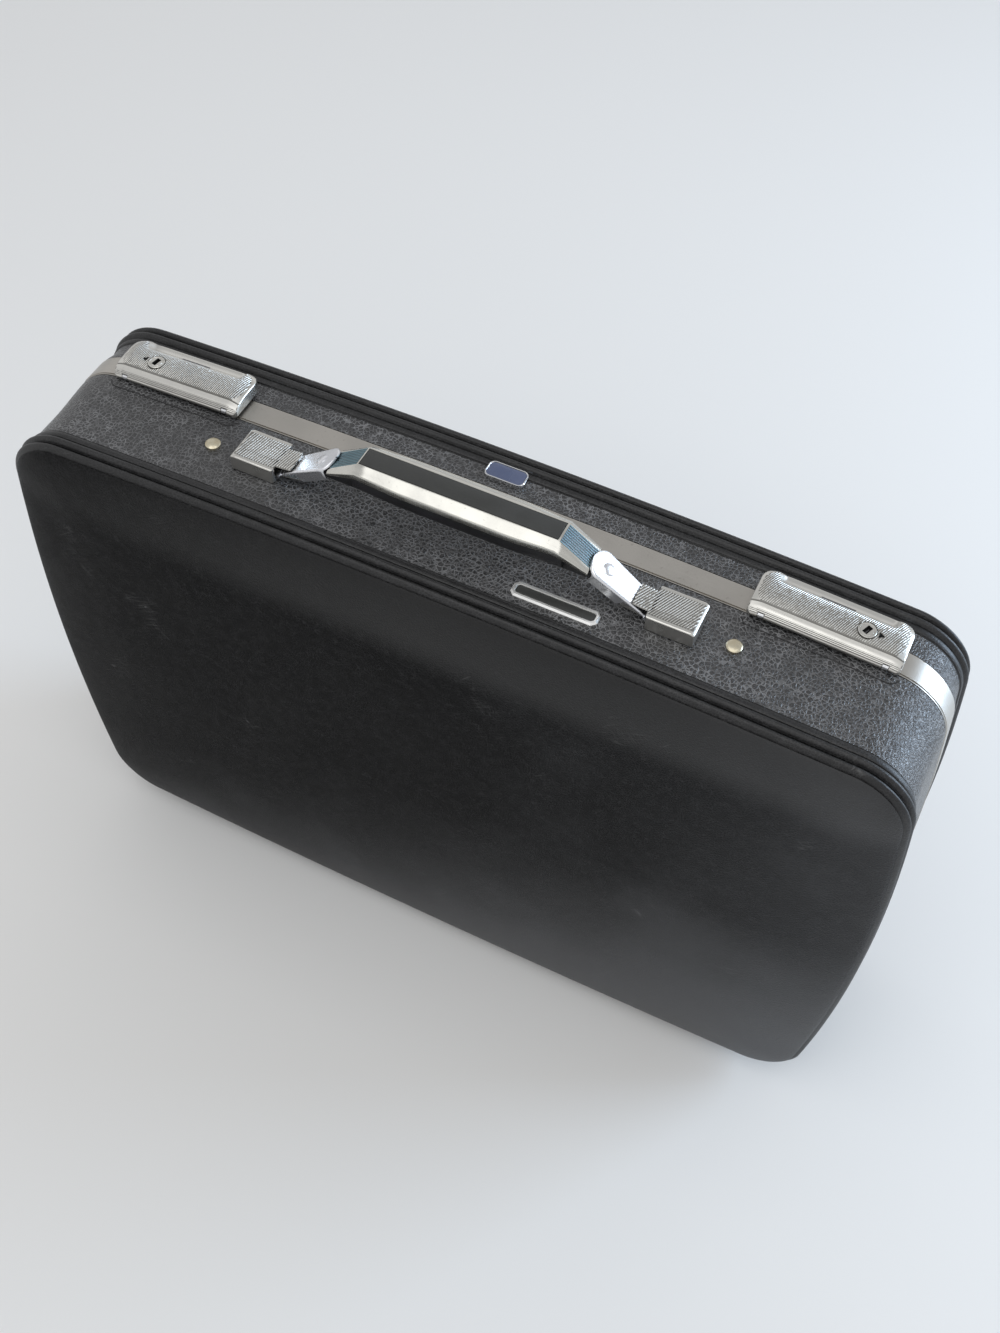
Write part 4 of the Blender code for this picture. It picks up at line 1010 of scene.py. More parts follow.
def wallPoints(edgeDepth):
    points = []
    for share in spread(0, 1, shell["wallSteps"]):
        inset = lerp(shell["waistInset"], shell["seamInset"], smoothStep(0.35, 1.0, share))
        points.append((inset, lerp(shell["wallStart"], edgeDepth, share), grainShare["wall"]))
    return points


def fromRear(points):
    return [(inset, case["beadSpacing"] - depth, grain) for inset, depth, grain in points]


def plainPoints(*places):
    return [(inset, depth, grainShare["bead"]) for inset, depth in places]


insideFace = list(reversed(facePoints(shell["cornerInset"], shell["thickness"], grainShare["bead"])))
baseProfile = facePoints(0, 0, grainShare["face"]) + beadPoints() + wallPoints(shell["baseSeam"])
baseProfile += plainPoints(
    (shell["rabbetInset"], shell["baseSeam"]),
    (shell["rabbetInset"], shell["rabbetEnd"]),
    (shell["lipInset"], shell["rabbetEnd"]),
    (shell["innerInset"], shell["baseSeam"]),
    (shell["innerInset"], 0.012),
    (shell["cornerInset"], shell["cornerDepth"]),
)
baseShell = ringLoft("frontShell", baseProfile + insideFace, shellFinish)
dress(baseShell, "case_base", ["base_shell"])

lidProfile = fromRear(
    facePoints(0, 0, grainShare["face"]) + beadPoints() + wallPoints(case["beadSpacing"] - shell["lidSeam"])
)
lidProfile += plainPoints((shell["lipInset"], shell["lidSeam"]), (shell["lipInset"], shell["rimSeat"]))
lidProfile += fromRear(plainPoints((shell["cornerInset"], shell["cornerDepth"])))
lidShell = ringLoft("rearShell", lidProfile + fromRear(insideFace), shellFinish)
dress(lidShell, "lid", ["lid_shell"])
print("shells made")

# Seam band: a thin front lip, a flat strip, a rolled rear edge and the tongue that enters the lid
band = {
    "front": 0.0577,
    "rear": 0.0732,
    "inset": 0.0012,
    "thickness": 0.0012,
    "flange": 0.001,
    "tongueInset": 0.0056,
    "tongueThickness": 0.001,
    "tongueLength": 0.0043,
    "lip": 0.0012,
    "lipSink": 0.0008,
    "roll": 0.0006,
    "flatSteps": 3,
    "rollSteps": 4,
}
lipTop = band["inset"] + band["lipSink"] * 0.25
tongueBack = band["tongueInset"] + band["tongueThickness"]
bandPlaces = [
    (band["inset"] + band["thickness"], band["front"]),
    (band["inset"] + band["lipSink"], band["front"]),
    (lipTop, band["front"] + band["lip"] * 0.15),
    (lipTop, band["front"] + band["lip"] * 0.6),
    (band["inset"] + band["lipSink"], band["front"] + band["lip"] * 0.8),
    (band["inset"] + band["lipSink"], band["front"] + band["lip"]),
    (band["inset"], band["front"] + band["lip"] * 1.2),
]
bandFrom, bandTo = band["front"] + band["lip"] * 2, band["rear"] - band["roll"] * 2
for share in spread(0, 1, band["flatSteps"]):
    bandPlaces.append((band["inset"], lerp(bandFrom, bandTo, share)))
for angle in spread(0, math.pi / 2, band["rollSteps"]):
    rolledIn = band["inset"] + band["roll"] * (1 - math.cos(angle))
    bandPlaces.append((rolledIn, band["rear"] - band["roll"] * (1 - math.sin(angle))))
bandPlaces += [
    (band["tongueInset"], band["rear"]),
    (band["tongueInset"], band["rear"] + band["tongueLength"]),
    (tongueBack, band["rear"] + band["tongueLength"]),
    (tongueBack, band["rear"] - band["flange"]),
    (band["inset"] + band["thickness"], band["rear"] - band["flange"]),
]
seamBand = ringLoft("seamBand", plainPoints(*bandPlaces), bandFinish, closed=True)
dress(seamBand, "case_base", ["base_band"])

# Inside: a cloth-covered tray in each shell and the lid's metal rim
inside = {
    "gap": 0.0004,
    "cloth": 0.0012,
    "edgeDrop": 0.0035,
    "rimInset": 0.0056,
    "rimFront": 0.0796,
    "rimThickness": 0.0009,
}


def trayProfile(wallInset, edgeDepth):
    outer = facePoints(shell["cornerInset"], shell["thickness"] + inside["gap"], 0.0)
    inner = facePoints(shell["cornerInset"], shell["thickness"] + inside["gap"] + inside["cloth"], 0.0)
    corner = (shell["cornerInset"] + inside["gap"], shell["cornerDepth"] + inside["gap"])
    innerCorner = (corner[0] + inside["cloth"], corner[1] + inside["cloth"])
    edge = [(wallInset, edgeDepth), (wallInset + inside["cloth"] / 2, edgeDepth + inside["cloth"] / 3)]
    edge.append((wallInset + inside["cloth"], edgeDepth))
    return outer + plainPoints(corner, *edge, innerCorner) + list(reversed(inner))


baseTray = trayProfile(shell["innerInset"] + inside["gap"], band["front"] - inside["edgeDrop"])
dress(ringLoft("baseTray", baseTray, liningFinish), "case_base", ["base_lining"])
rimBack = inside["rimInset"] + inside["rimThickness"]
lidTray = trayProfile(rimBack + inside["gap"], case["beadSpacing"] - inside["rimFront"] - inside["edgeDrop"])
dress(ringLoft("lidTray", fromRear(lidTray), liningFinish), "lid", ["lid_lining"])
rimPlaces = plainPoints(
    (inside["rimInset"], inside["rimFront"]),
    (inside["rimInset"], shell["rimSeat"]),
    (rimBack, shell["rimSeat"]),
    (rimBack, inside["rimFront"]),
)
dress(ringLoft("lidRim", rimPlaces, bandFinish, closed=True), "lid", ["lid_rim"])
print("band and linings made")

# Latches, built flat and then laid on the bowed top edge
latch = {
    "centre": 0.186,
    "length": 0.0795,
    "front": 0.0557,
    "width": 0.0295,
    "tilt": 2.7,  # degrees
    "lift": 0.0003,
    "wall": 0.0009,
    "bottom": 0.0005,
    "frontRadius": 0.0025,
    "rearRadius": 0.009,
    "rollCentre": (0.0016, 0.0021),
    "rollRadius": 0.0017,
    "rollSteps": 6,
    "bevelFoot": (0.0004, 0.0033),
    "crease": (0.0047, 0.0079),
    "lines": 3,
    "linePitch": 0.00085,
    "lineRise": 0.00026,
    "creaseWidth": 0.0007,
    "creaseSink": 0.00035,
    "topSteps": 22,
    "rearSteps": 14,
    "endSteps": (0, 0.1, 0.22, 0.36, 0.52, 0.7, 1.1, 1.8, 2.6, 3.5, 4.5, 5.6, 6.8),  # millimetres
    "middleSteps": 110,
    "endBevel": 0.0062,
    "endDrop": 0.0019,
    "edge": 0.0007,
    "lobeTop": (
        *((4.7, 7.9), (9.3, 8.9), (14.3, 9.3), (19.3, 9.2)),
        *((24, 8.7), (27, 7.6), (28.8, 5.7), (29.5, 3.6)),
    ),
    "scoopTop": (
        *((4.7, 7.9), (9.3, 8.9), (14.3, 9.3), (18.6, 9.2), (20.4, 8.5)),
        *((22.2, 6.7), (24.4, 5.0), (27, 4.2), (29, 4.3), (29.5, 3.9)),
    ),
    "lobeFrom": 0.0325,
    "scoopTo": 0.0275,
    "knuckle": 0.0322,
    "knuckleWidth": 0.0036,
    "knuckleTop": 0.0041,
    "knuckleReach": 0.0048,
}
ribbing = {
    "pitch": 0.00112,
    "radius": 0.00030,
    "sink": 0.00006,
    "samples": 56,
    "from": 0.0057,
    "leastHeight": 0.0079,
    "leanRight": 67,  # degrees from the cover's length
    "leanLeft": 78,
}
lock = {
    "x": 0.0176,
    "depth": 0.0123,
    "radius": 0.0047,
    "gap": 0.0003,
    "top": 0.0096,
    "length": 0.0052,
    "arrowAway": 0.0070,
    "arrowRadius": 0.0020,
    "arrowFloor": 0.0060,
    "cutFrom": 0.003,
    "cutTo": 0.02,
}
pressed = {
    "ahead": 0.0048,
    "radius": 0.00035,
    "overhang": 0.001,
    "points": 40,
    "flare": 0.0035,
    "flareFrom": 0.93,
    "flareSpan": 0.07,
}
millimetre = 0.001


def topHeight(points, place):
    return millimetre * curveThrough(points, place / millimetre)


def latchSection():  # (across, height) rows from the front roll to the crease, then across-only rows
    rows = []
    for angle in spread(math.radians(-150), math.radians(-225), latch["rollSteps"]):
        across = latch["rollCentre"][0] + latch["rollRadius"] * math.cos(angle)
        rows.append((across, latch["rollCentre"][1] + latch["rollRadius"] * math.sin(angle)))
    foot, top = Vector(latch["bevelFoot"]), Vector(latch["crease"])
    run = (top - foot).normalized()
    out = Vector((-run.y, run.x))
    for number in range(latch["lines"]):
        for share in (0.12, 0.3, 0.5, 0.7, 0.88):
            point = foot + run * latch["linePitch"] * (number + 0.3 + share)
            rows.append(tuple(point + out * latch["lineRise"] * math.sin(math.pi * share)))
    start = foot + run * latch["linePitch"] * (latch["lines"] + 0.4)
    for share in (0, 0.5, 0.94):
        rows.append(tuple(start.lerp(top, share)))
    rows.append((top.x + latch["creaseWidth"] * 0.4, top.y - latch["creaseSink"]))
    return rows


def latchCover(name):
    half, width = latch["length"] / 2, latch["width"]
    rearStart = width - latch["rearRadius"]
    acrossRows = spread(latch["crease"][0] + latch["creaseWidth"], rearStart, latch["topSteps"])
    for angle in spread(0, math.pi / 2, latch["rearSteps"])[1:]:
        acrossRows.append(rearStart + latch["rearRadius"] * math.sin(angle))
    places = latchSection() + [(across, None) for across in acrossRows]
    endPlaces = [step * millimetre for step in latch["endSteps"]]
    rows = []
    for across, height in places + [(width, latch["bottom"])]:
        inset = roundDrop(max(across, 0), latch["frontRadius"])
        inset += roundDrop(max(width - across, 0), latch["rearRadius"])
        reach = half - inset
        innerReach = reach - endPlaces[-1]
        columns = [-reach + place for place in endPlaces]
        columns += spread(-innerReach, innerReach, latch["middleSteps"])[1:-1]
        columns += [reach - place for place in reversed(endPlaces)]
        y = yAt(latch["front"] + across)
        row = [Vector((-reach, y, latch["bottom"]))]
        for x in columns:
            z = height
            if z is None:
                scoop = smoothStep(latch["lobeFrom"], latch["scoopTo"], abs(x))
                z = lerp(topHeight(latch["lobeTop"], across), topHeight(latch["scoopTop"], across), scoop)
            fromEnd = reach - abs(x)
            share = (z - latch["bottom"]) / latch["crease"][1]
            z -= share * latch["endDrop"] * (1 - min(fromEnd / latch["endBevel"], 1)) ** 1.4
            z -= share * roundDrop(fromEnd, latch["edge"])
            row.append(Vector((x, y, max(z, latch["bottom"]))))
        row.append(Vector((reach, y, latch["bottom"])))
        rows.append(row)
    return hollowShell(f"latchCover_{name}", rows, satinFinish, latch["wall"])


def discCutter(name, x, y, radius, low, high, material, turn=0.0, segments=48, stretch=1.0):
    disc = lathe(name, [(0, low), (radius, low), (radius, high), (0, high)], [material], segments)
    shape = Matrix.Rotation(turn, 4, "Z") @ Matrix.Scale(stretch, 4, (1, 0, 0))
    disc.data.transform(Matrix.Translation((x, y, 0)) @ shape)
    return disc


def latchLock(side, name, lean):
    x, y = side * lock["x"], yAt(latch["front"] + lock["depth"])
    top, radius = lock["top"], lock["radius"]
    profile = [
        (0, top - lock["length"]),
        (radius, top - lock["length"]),
        (radius, top - 0.0002),
        (radius - 0.0002, top),
        (radius - 0.0008, top),
        (radius - 0.0010, top - 0.00025),
        (radius - 0.0013, top - 0.00025),
        (radius - 0.0015, top),
        (0, top + 0.0001),
    ]
    barrel = lathe(f"lockBarrel_{name}", profile, [satinFinish], 64)
    barrel.data.transform(Matrix.Translation((x, y, 0)))
    slot = boxSketch("keySlot", (-0.0026, -0.0014, top - 0.0026), (0.0026, 0.0014, top + 0.001), shadedHollowFinish)
    slot.data.transform(Matrix.Translation((x, y, 0)) @ Matrix.Rotation(lean, 4, "Z"))
    cutWith(barrel, slot)
    ward = boxSketch("ward", (-0.0016, -0.0002, top - 0.0024), (0.0016, 0.0002, top - 0.0015), steelFinish)
    ward.data.transform(Matrix.Translation((x, y, 0)) @ Matrix.Rotation(lean, 4, "Z"))
    return merge(f"latchLock_{name}", barrel, ward)


def inLatchGroove(place, normal):  # the crease and the gaps between the front lines
    across = place.y - yAt(latch["front"])
    if latch["crease"][0] < across < latch["crease"][0] + latch["creaseWidth"] and place.z > 0.006:
        return normal.z > 0
    foot, top = Vector(latch["bevelFoot"]), Vector(latch["crease"])
    along = (Vector((across, place.z)) - foot).dot((top - foot).normalized())
    phase = along / latch["linePitch"] - 0.3
    return -0.15 < phase < latch["lines"] + 0.15 and abs(phase - round(phase)) < 0.15 and normal.y < -0.2


for side, name in ((-1, "left"), (1, "right")):
    seatHeight = case["top"] - bowDrop(latch["centre"]) - band["inset"] + latch["lift"]
    seat = Matrix.Translation((side * latch["centre"], 0, seatHeight))
    seat = seat @ Matrix.Rotation(math.radians(side * latch["tilt"]), 4, "Y")
    lean = math.radians(ribbing["leanRight"] if side > 0 else ribbing["leanLeft"])
    cover = latchCover(name)
    lockX, lockY = side * lock["x"], yAt(latch["front"] + lock["depth"])
    holeSize = (lock["radius"] + lock["gap"], lock["cutFrom"], lock["cutTo"])
    # the cut faces take the painted shade finish
    cutters = [discCutter("lockHole", lockX, lockY, *holeSize, shadedHollowFinish)]
    arrowX, arrowTurn = lockX + side * lock["arrowAway"], math.pi * (side < 0)
    arrowSize = (lock["arrowRadius"], lock["arrowFloor"], lock["cutTo"])
    cutters.append(discCutter("arrow", arrowX, lockY, *arrowSize, shadedHollowFinish, arrowTurn, 3))
    for end in (-1, 1):
        low = (end * latch["knuckle"] - latch["knuckleWidth"] / 2, yAt(latch["front"]) - 0.002, -0.002)
        rear = yAt(latch["front"] + latch["knuckleReach"])
        high = (low[0] + latch["knuckleWidth"], rear, latch["knuckleTop"])
        cutters.append(boxSketch("knuckleNotch", low, high, shadedHollowFinish))
    cutWith(cover, *cutters)
    ribStart = yAt(latch["front"] + ribbing["from"])
    # painted shade between the ribs and in the crease and the grooves between the front lines
    refinish(
        cover,
        shadedValleyFinish,
        lambda place, normal: place.z > ribbing["leastHeight"] and place.y > ribStart and normal.z > upward,
    )
    refinish(cover, shadedValleyFinish, inLatchGroove)
    ribLength = latch["width"] - ribbing["from"]
    slip = ribLength / math.tan(lean)
    count = int((latch["length"] + slip) / ribbing["pitch"])
    start = (-latch["length"] / 2 - slip, ribStart, 0.0)
    field = layRibs(f"latchRibs_{name}", cover, count, start, (slip, ribLength, 0.0), ribbing)
    barrel = latchLock(side, name, lean)
    for piece in (cover, field, barrel):
        piece.data.transform(seat)
    dress(cover, f"latch_{name}", [f"latch_{name}_cover"])
    dress(field, f"latch_{name}", (), 60)
    dress(barrel, f"lock_{name}", [f"latch_{name}_lock"])

    # The line pressed into the shell in front of the latch
    line = []
    for share in spread(-1, 1, pressed["points"]):
        x = share * (latch["length"] / 2 + pressed["overhang"])
        flare = pressed["flare"] * max(abs(share) - pressed["flareFrom"], 0) / pressed["flareSpan"]
        y = yAt(latch["front"] - pressed["ahead"] + flare)
        worldX = side * latch["centre"] + x
        hit, place, normal, index = baseShell.ray_cast(Vector((worldX, y, 0.5)), Vector((0, 0, -1)))
        line.append(place)
    pressedLine = tubeAlong(f"pressedLine_{name}", line, pressed["radius"], [shellFinish])
    dress(pressedLine, "case_base", (), 80)
print("latches made")

# Carry handle: chrome cap with a dark inlay over a rounded black grip
handle = {
    "depth": 0.0368,
    "halfLength": 0.055,
    "halfWidth": 0.0108,
    "swell": 0.0014,
    "top": 0.0306,
    "shoulder": 0.0270,
    "split": 0.0234,
    "bottom": 0.0112,
    "flat": 0.0062,
    "slope": 34,  # degrees
    "slopeReach": 0.0175,
    "slopeHalfWidth": 0.009,
    "endThickness": 0.0024,
    "edge": 0.0009,
    "bodySteps": 20,
    "slopeSteps": 5,
    "inlayHalfWidth": 0.0056,
    "inlayRise": 0.0003,
    "inlayThickness": 0.0012,
    "coreHalfWidth": 0.0096,
    "coreSteps": 18,
    "coreEndReach": 0.0033,
}
handleY = yAt(handle["depth"])
slope = math.radians(handle["slope"])


def swellAt(x):
    return handle["swell"] * (1 - smoothStep(0.0275, handle["halfLength"], abs(x)))


def capSection(x, inward=0.0):
    past = max(abs(x) - handle["halfLength"], 0)
    share = past / handle["slopeReach"]
    top = case["top"] + handle["top"] - past * math.tan(slope)
    halfWidth = lerp(handle["halfWidth"] + swellAt(x), handle["slopeHalfWidth"], share) - inward
    shoulder = top - lerp(handle["top"] - handle["shoulder"], handle["endThickness"] * 0.45, share)
    under = top - lerp(handle["top"] - handle["split"], handle["endThickness"], share)
    edge = handle["edge"] * (1 - 0.5 * share)
    flat = lerp(handle["flat"], handle["flat"] + 0.0006, share)
    right = [(flat, top)]
    for part in (0.25, 0.5, 0.75):  # the facet beside the inlay is slightly crowned
        crown = 0.00035 * math.sin(math.pi * part)
        right.append((lerp(flat, halfWidth - edge, part), lerp(top, shoulder + edge * 0.7, part) + crown))
    for angle in (15, 35, 55, 75, 90):
        turned = math.radians(angle)
        across = halfWidth - edge * (1 - math.sin(turned))
        right.append((across, shoulder - edge * 0.3 + edge * math.cos(turned)))
    right += [(halfWidth, under + 0.0003), (halfWidth - 0.0005, under)]
    section = [(-y, z) for y, z in reversed(right)] + right
    return [Vector((x, handleY + y, z)) for y, z in section]


slopeEnd = handle["halfLength"] + handle["slopeReach"]
capStations = [-x for x in reversed(spread(handle["halfLength"], slopeEnd, handle["slopeSteps"]))]
capStations += spread(-handle["halfLength"], handle["halfLength"], handle["bodySteps"])[1:-1]
capStations += spread(handle["halfLength"], slopeEnd, handle["slopeSteps"])
cap = loftThrough("gripCap", [capSection(x) for x in capStations], [creamFinish])
inlayBottom = case["top"] + handle["top"] + handle["inlayRise"] - handle["inlayThickness"]
recessSize = (handle["halfLength"] - 0.0002, handle["inlayHalfWidth"] + 0.0003)
cutWith(
    cap,
    boxSketch(
        "inlayRecess",
        (-recessSize[0], handleY - recessSize[1], inlayBottom - 0.0003),
        (recessSize[0], handleY + recessSize[1], case["top"] + handle["top"] + 0.01),
        creamFinish,
    ),
)
inlayReach = handle["halfLength"] - 0.0005
inlay = boxSketch(
    "gripInlay",
    (-inlayReach, handleY - handle["inlayHalfWidth"], inlayBottom),
    (inlayReach, handleY + handle["inlayHalfWidth"], inlayBottom + handle["inlayThickness"]),
    inlayFinish,
)
dress(roundEdges(inlay, 0.0003), "handle", ["handle_inlay"])

# Fine teeth along the cap's lower edges and flutes down its sloping ends
teeth = {"pitch": 0.0012, "radius": 0.00036, "from": 0.051, "lean": 0.0006, "sides": 6}
flutes = {"count": 9, "halfWidth": 0.0056, "radius": 0.00042, "sink": 0.0001, "plateLift": 0.00012}
toothPieces = []
for edge in (-1, 1):
    tooth = []
    section = capSection(0.0)
    lower = section[-7:] if edge > 0 else section[:7]
    for number, point in enumerate(lower[1:-1] if edge > 0 else list(reversed(lower))[1:-1]):
        tooth.append(Vector((-number * teeth["lean"] / 4, point.y, point.z)))
    piece = tubeAlong("tooth", tooth, teeth["radius"], [creamFinish], sides=teeth["sides"])
    count = int(2 * teeth["from"] / teeth["pitch"])
    row = generate(
        f"gripTeeth_{'rear' if edge > 0 else 'front'}",
        rowOfPieces,
        {
            "Piece": piece,
            "Count": count,
            "Start": (-teeth["from"], 0.0, 0.0),
            "Step": (teeth["pitch"], 0.0, 0.0),
            "Finish": creamFinish,
        },
    )
    for vert in row.data.vertices:  # the teeth follow the grip's swell
        vert.co.y += edge * (swellAt(vert.co.x) - swellAt(0))
    bpy.data.objects.remove(piece)
    toothPieces.append(row)
for side in (-1, 1):
    low, high = handle["halfLength"] + 0.0008, slopeEnd - 0.0003
    line = []
    for x in (low, high):
        z = case["top"] + handle["top"] - (x - handle["halfLength"]) * math.tan(slope) - flutes["sink"]
        line.append(Vector((side * x, handleY, z)))
    flute = tubeAlong("flute", line, flutes["radius"], [fluteSkyReflectionFinish])
    row = generate(
        f"gripFlutes_{'left' if side < 0 else 'right'}",
        rowOfPieces,
        {
            "Piece": flute,
            "Count": flutes["count"],
            "Start": (0.0, -flutes["halfWidth"], 0.0),
            "Step": (0.0, 2 * flutes["halfWidth"] / (flutes["count"] - 1), 0.0),
            "Finish": fluteSkyReflectionFinish,
        },
    )
    bpy.data.objects.remove(flute)
    # painted shade: a dark steel strip under the flutes shows as dark lines between them
    lift = Vector((0, 0, flutes["plateLift"]))
    reach = Vector((0, flutes["halfWidth"] + flutes["radius"], 0))
    rows = [[point - reach + lift, point + reach + lift] for point in line]
    toothPieces += [row, gridSheet("fluteBed", rows, [steelFinish], 0.0003)]
dress(merge("gripCapDressed", cap, *toothPieces), "handle", ["handle_cap"])


def coreSection(x):
    share = smoothStep(handle["halfLength"] - 0.004, handle["halfLength"] + handle["coreEndReach"], abs(x))
    halfWidth = handle["coreHalfWidth"] + swellAt(x) - 0.0016 * share
    top = case["top"] + handle["split"] - 0.0003 - 0.002 * share
    bottom = case["top"] + handle["bottom"] - 0.0006 * share
    middle = top - 0.0045
    section = [Vector((x, handleY + halfWidth, top))]
    for angle in spread(0, math.pi, handle["coreSteps"]):
        across, down = math.cos(angle), math.sin(angle)
        y = math.copysign(abs(across) ** 0.75, across) * halfWidth
        section.append(Vector((x, handleY + y, middle - (middle - bottom) * down**0.85)))
    section.append(Vector((x, handleY - halfWidth, top)))
    return section


coreEnd = handle["halfLength"] + handle["coreEndReach"]
coreStations = [-coreEnd, -coreEnd + 0.002] + spread(-0.052, 0.052, 24) + [coreEnd - 0.002, coreEnd]
core = loftThrough("gripCore", [coreSection(x) for x in coreStations], [coreFinish])

# Links: sloping plates with a raised boss, side flanges and a cross bar at the mount's end
link = {
    "pivotX": 0.0747,
    "pivotRise": 0.01365,
    "top": 0.005,
    "thickness": 0.0011,
    "upper": 0.0068,
    "lower": 0.0322,
    "upperHalfWidth": 0.009,
    "lowerHalfWidth": 0.0068,
    "edge": 0.0013,
    "flangeFrom": -0.0012,
    "flangeTo": 0.0175,
    "flangeDrop": 0.0066,
    "bossPlace": 0.0034,
    "bossRadius": 0.0034,
    "bossRise": 0.0008,
    "barRadius": 0.0011,
    "barHalfLength": 0.0079,
    "bossShape": (
        *((0.0, -0.4), (1.0, -0.4), (1.0, 0.12), (0.93, 0.38)),
        *((0.80, 0.66), (0.62, 0.86), (0.4, 0.97), (0.0, 1.0)),
    ),
    "lugRadius": 0.0024,
    "lugHalfWidth": 0.0062,
}


def linkRow(along):
    if along < 0:
        halfWidth = link["upperHalfWidth"] * math.sqrt(max(1 - (along / link["upper"]) ** 2, 0))
    else:
        halfWidth = lerp(link["upperHalfWidth"], link["lowerHalfWidth"], along / link["lower"])
    edge = min(link["edge"], halfWidth)
    skirt = smoothStep(link["flangeFrom"] - 0.0012, link["flangeFrom"], along)
    skirt *= smoothStep(link["flangeTo"] + 0.0015, link["flangeTo"], along)
    drop = lerp(edge + 0.0001, link["flangeDrop"], skirt)
    right = [(part * (halfWidth - edge), 0.0) for part in spread(0, 1, 22)]
    for angle in (20, 40, 60, 80, 90):
        turned = math.radians(angle)
        right.append((halfWidth - edge * (1 - math.sin(turned)), edge * (1 - math.cos(turned))))
    right.append((halfWidth, drop))
    places = [(-across, down) for across, down in reversed(right[1:])] + right
    return [Vector((along, across, link["top"] - down)) for across, down in places]


for side, name in ((-1, "left"), (1, "right")):
    pivot = Matrix.Translation((side * link["pivotX"], handleY, case["top"] + link["pivotRise"]))
    if side < 0:
        pivot = pivot @ Matrix.Rotation(math.pi, 4, "Z")
    pivot = pivot @ Matrix.Rotation(slope, 4, "Y")
    alongs = [-link["upper"] * math.cos(angle) for angle in spread(0.12, math.pi / 2, 14)]
    alongs += spread(0, 0.009, 26)[1:] + spread(0.009, link["lower"], 26)[1:]
    plate = gridSheet("linkPlate", [linkRow(along) for along in alongs], [linkFinish], link["thickness"])
    barZ = link["top"] - link["thickness"] / 2
    barEnds = [(link["lower"], end * link["barHalfLength"], barZ) for end in (-1, 1)]
    bar = tubeAlong("linkBar", barEnds, link["barRadius"], [linkFinish], sides=16)
    profile = [(link["bossRadius"] * reach, link["bossRise"] * rise) for reach, rise in link["bossShape"]]
    boss = lathe("linkBoss", profile, [linkFinish])
    boss.data.transform(Matrix.Translation((link["bossPlace"], 0, link["top"])))
    dressed = merge(f"linkPlate_{name}", plate, bar, boss)
    dressed.data.transform(pivot)
    dress(dressed, f"link_{name}", [f"handle_link_{name}"])

    neckX = handle["halfLength"] - 0.004
    neckRise = case["top"] + link["pivotRise"]
    outline = []
    for angle in spread(-math.pi / 2, math.pi / 2, 12):
        lugX = link["pivotX"] + link["lugRadius"] * math.cos(angle)
        outline.append((side * lugX, neckRise + link["lugRadius"] * math.sin(angle)))
    outline.append((side * neckX, neckRise + link["lugRadius"] + 0.003))
    outline.append((side * neckX, neckRise - link["lugRadius"]))
    sections = [
        [Vector((x, handleY + end * link["lugHalfWidth"], z)) for x, z in outline] for end in (-1, 1)
    ]
    lug = loftThrough("gripLug", sections, [coreFinish])
    core = merge("gripCore", core, roundEdges(lug, 0.0006))
dress(core, "handle", ["handle_core"])
print("handle and links made")

# Mounts that hold the links: a ribbed cover with a narrower tongue over the link
mount = {
    "inner": 0.105,
    "outer": 0.1308,
    "halfWidth": 0.0111,
    "top": 0.0055,
    "wall": 0.001,
    "edge": 0.0009,
    "corner": 0.0012,
    "endBevel": 0.0022,
    "endDrop": 0.0011,
    "tongueReach": 0.0088,
    "tongueHalfWidth": 0.007,
    "tongueRise": 7.5,  # degrees
    "tongueThickness": 0.0011,
    "tongueEdge": 0.0006,
    "tongueCorner": 0.001,
    "tongueOverlap": 0.002,
    "mouthHalfWidth": 0.0088,
    "mouthHeight": 0.0043,
    "mouthDepth": 1.6,  # in thicknesses of the wall, so that the cut goes all through it
    "ribBorder": 0.0024,
    "leanRight": 64,
    "leanLeft": 77,
}
edgePlaces = [place * millimetre for place in (0, 0.08, 0.18, 0.32, 0.5, 0.7, 0.9, 1.5, 2.2)]


def padSheet(name, low, high, corner, heightAt, bottom, thickness, material, middle=20):
    acrossPlaces = [low[1] + place for place in edgePlaces]
    acrossPlaces += spread(low[1] + edgePlaces[-1], high[1] - edgePlaces[-1], middle)[1:-1]
    acrossPlaces += [high[1] - place for place in reversed(edgePlaces)]
    rows = []
    for across in acrossPlaces:
        fromSide = min(across - low[1], high[1] - across)
        inset = roundDrop(fromSide, corner)
        left, right = low[0] + inset, high[0] - inset
        places = [left + place for place in edgePlaces]
        places += spread(left + edgePlaces[-1], right - edgePlaces[-1], middle)[1:-1]
        places += [right - place for place in reversed(edgePlaces)]
        row = [Vector((x, across, heightAt(x, x - left, right - x, fromSide))) for x in places]
        if bottom is not None:
            row = [Vector((left, across, bottom))] + row + [Vector((right, across, bottom))]
        rows.append(row)
    if bottom is not None:
        first = [Vector((point.x, point.y, bottom)) for point in rows[0]]
        last = [Vector((point.x, point.y, bottom)) for point in rows[-1]]
        rows = [first] + rows + [last]
    return gridSheet(name, rows, [material], thickness)


def mountHeight(x, fromInner, fromOuter, fromSide):
    z = case["top"] + mount["top"] - roundDrop(fromSide, mount["edge"]) - roundDrop(fromOuter, mount["edge"])
    return z - mount["endDrop"] * (1 - min(fromOuter / mount["endBevel"], 1))


def tongueHeight(x, fromInner, fromOuter, fromSide):
    rise = (mount["inner"] - x) * math.tan(math.radians(mount["tongueRise"]))
    full = case["top"] + mount["top"] + max(rise, 0)
    return full - roundDrop(fromSide, mount["tongueEdge"]) - roundDrop(fromInner, mount["tongueEdge"])


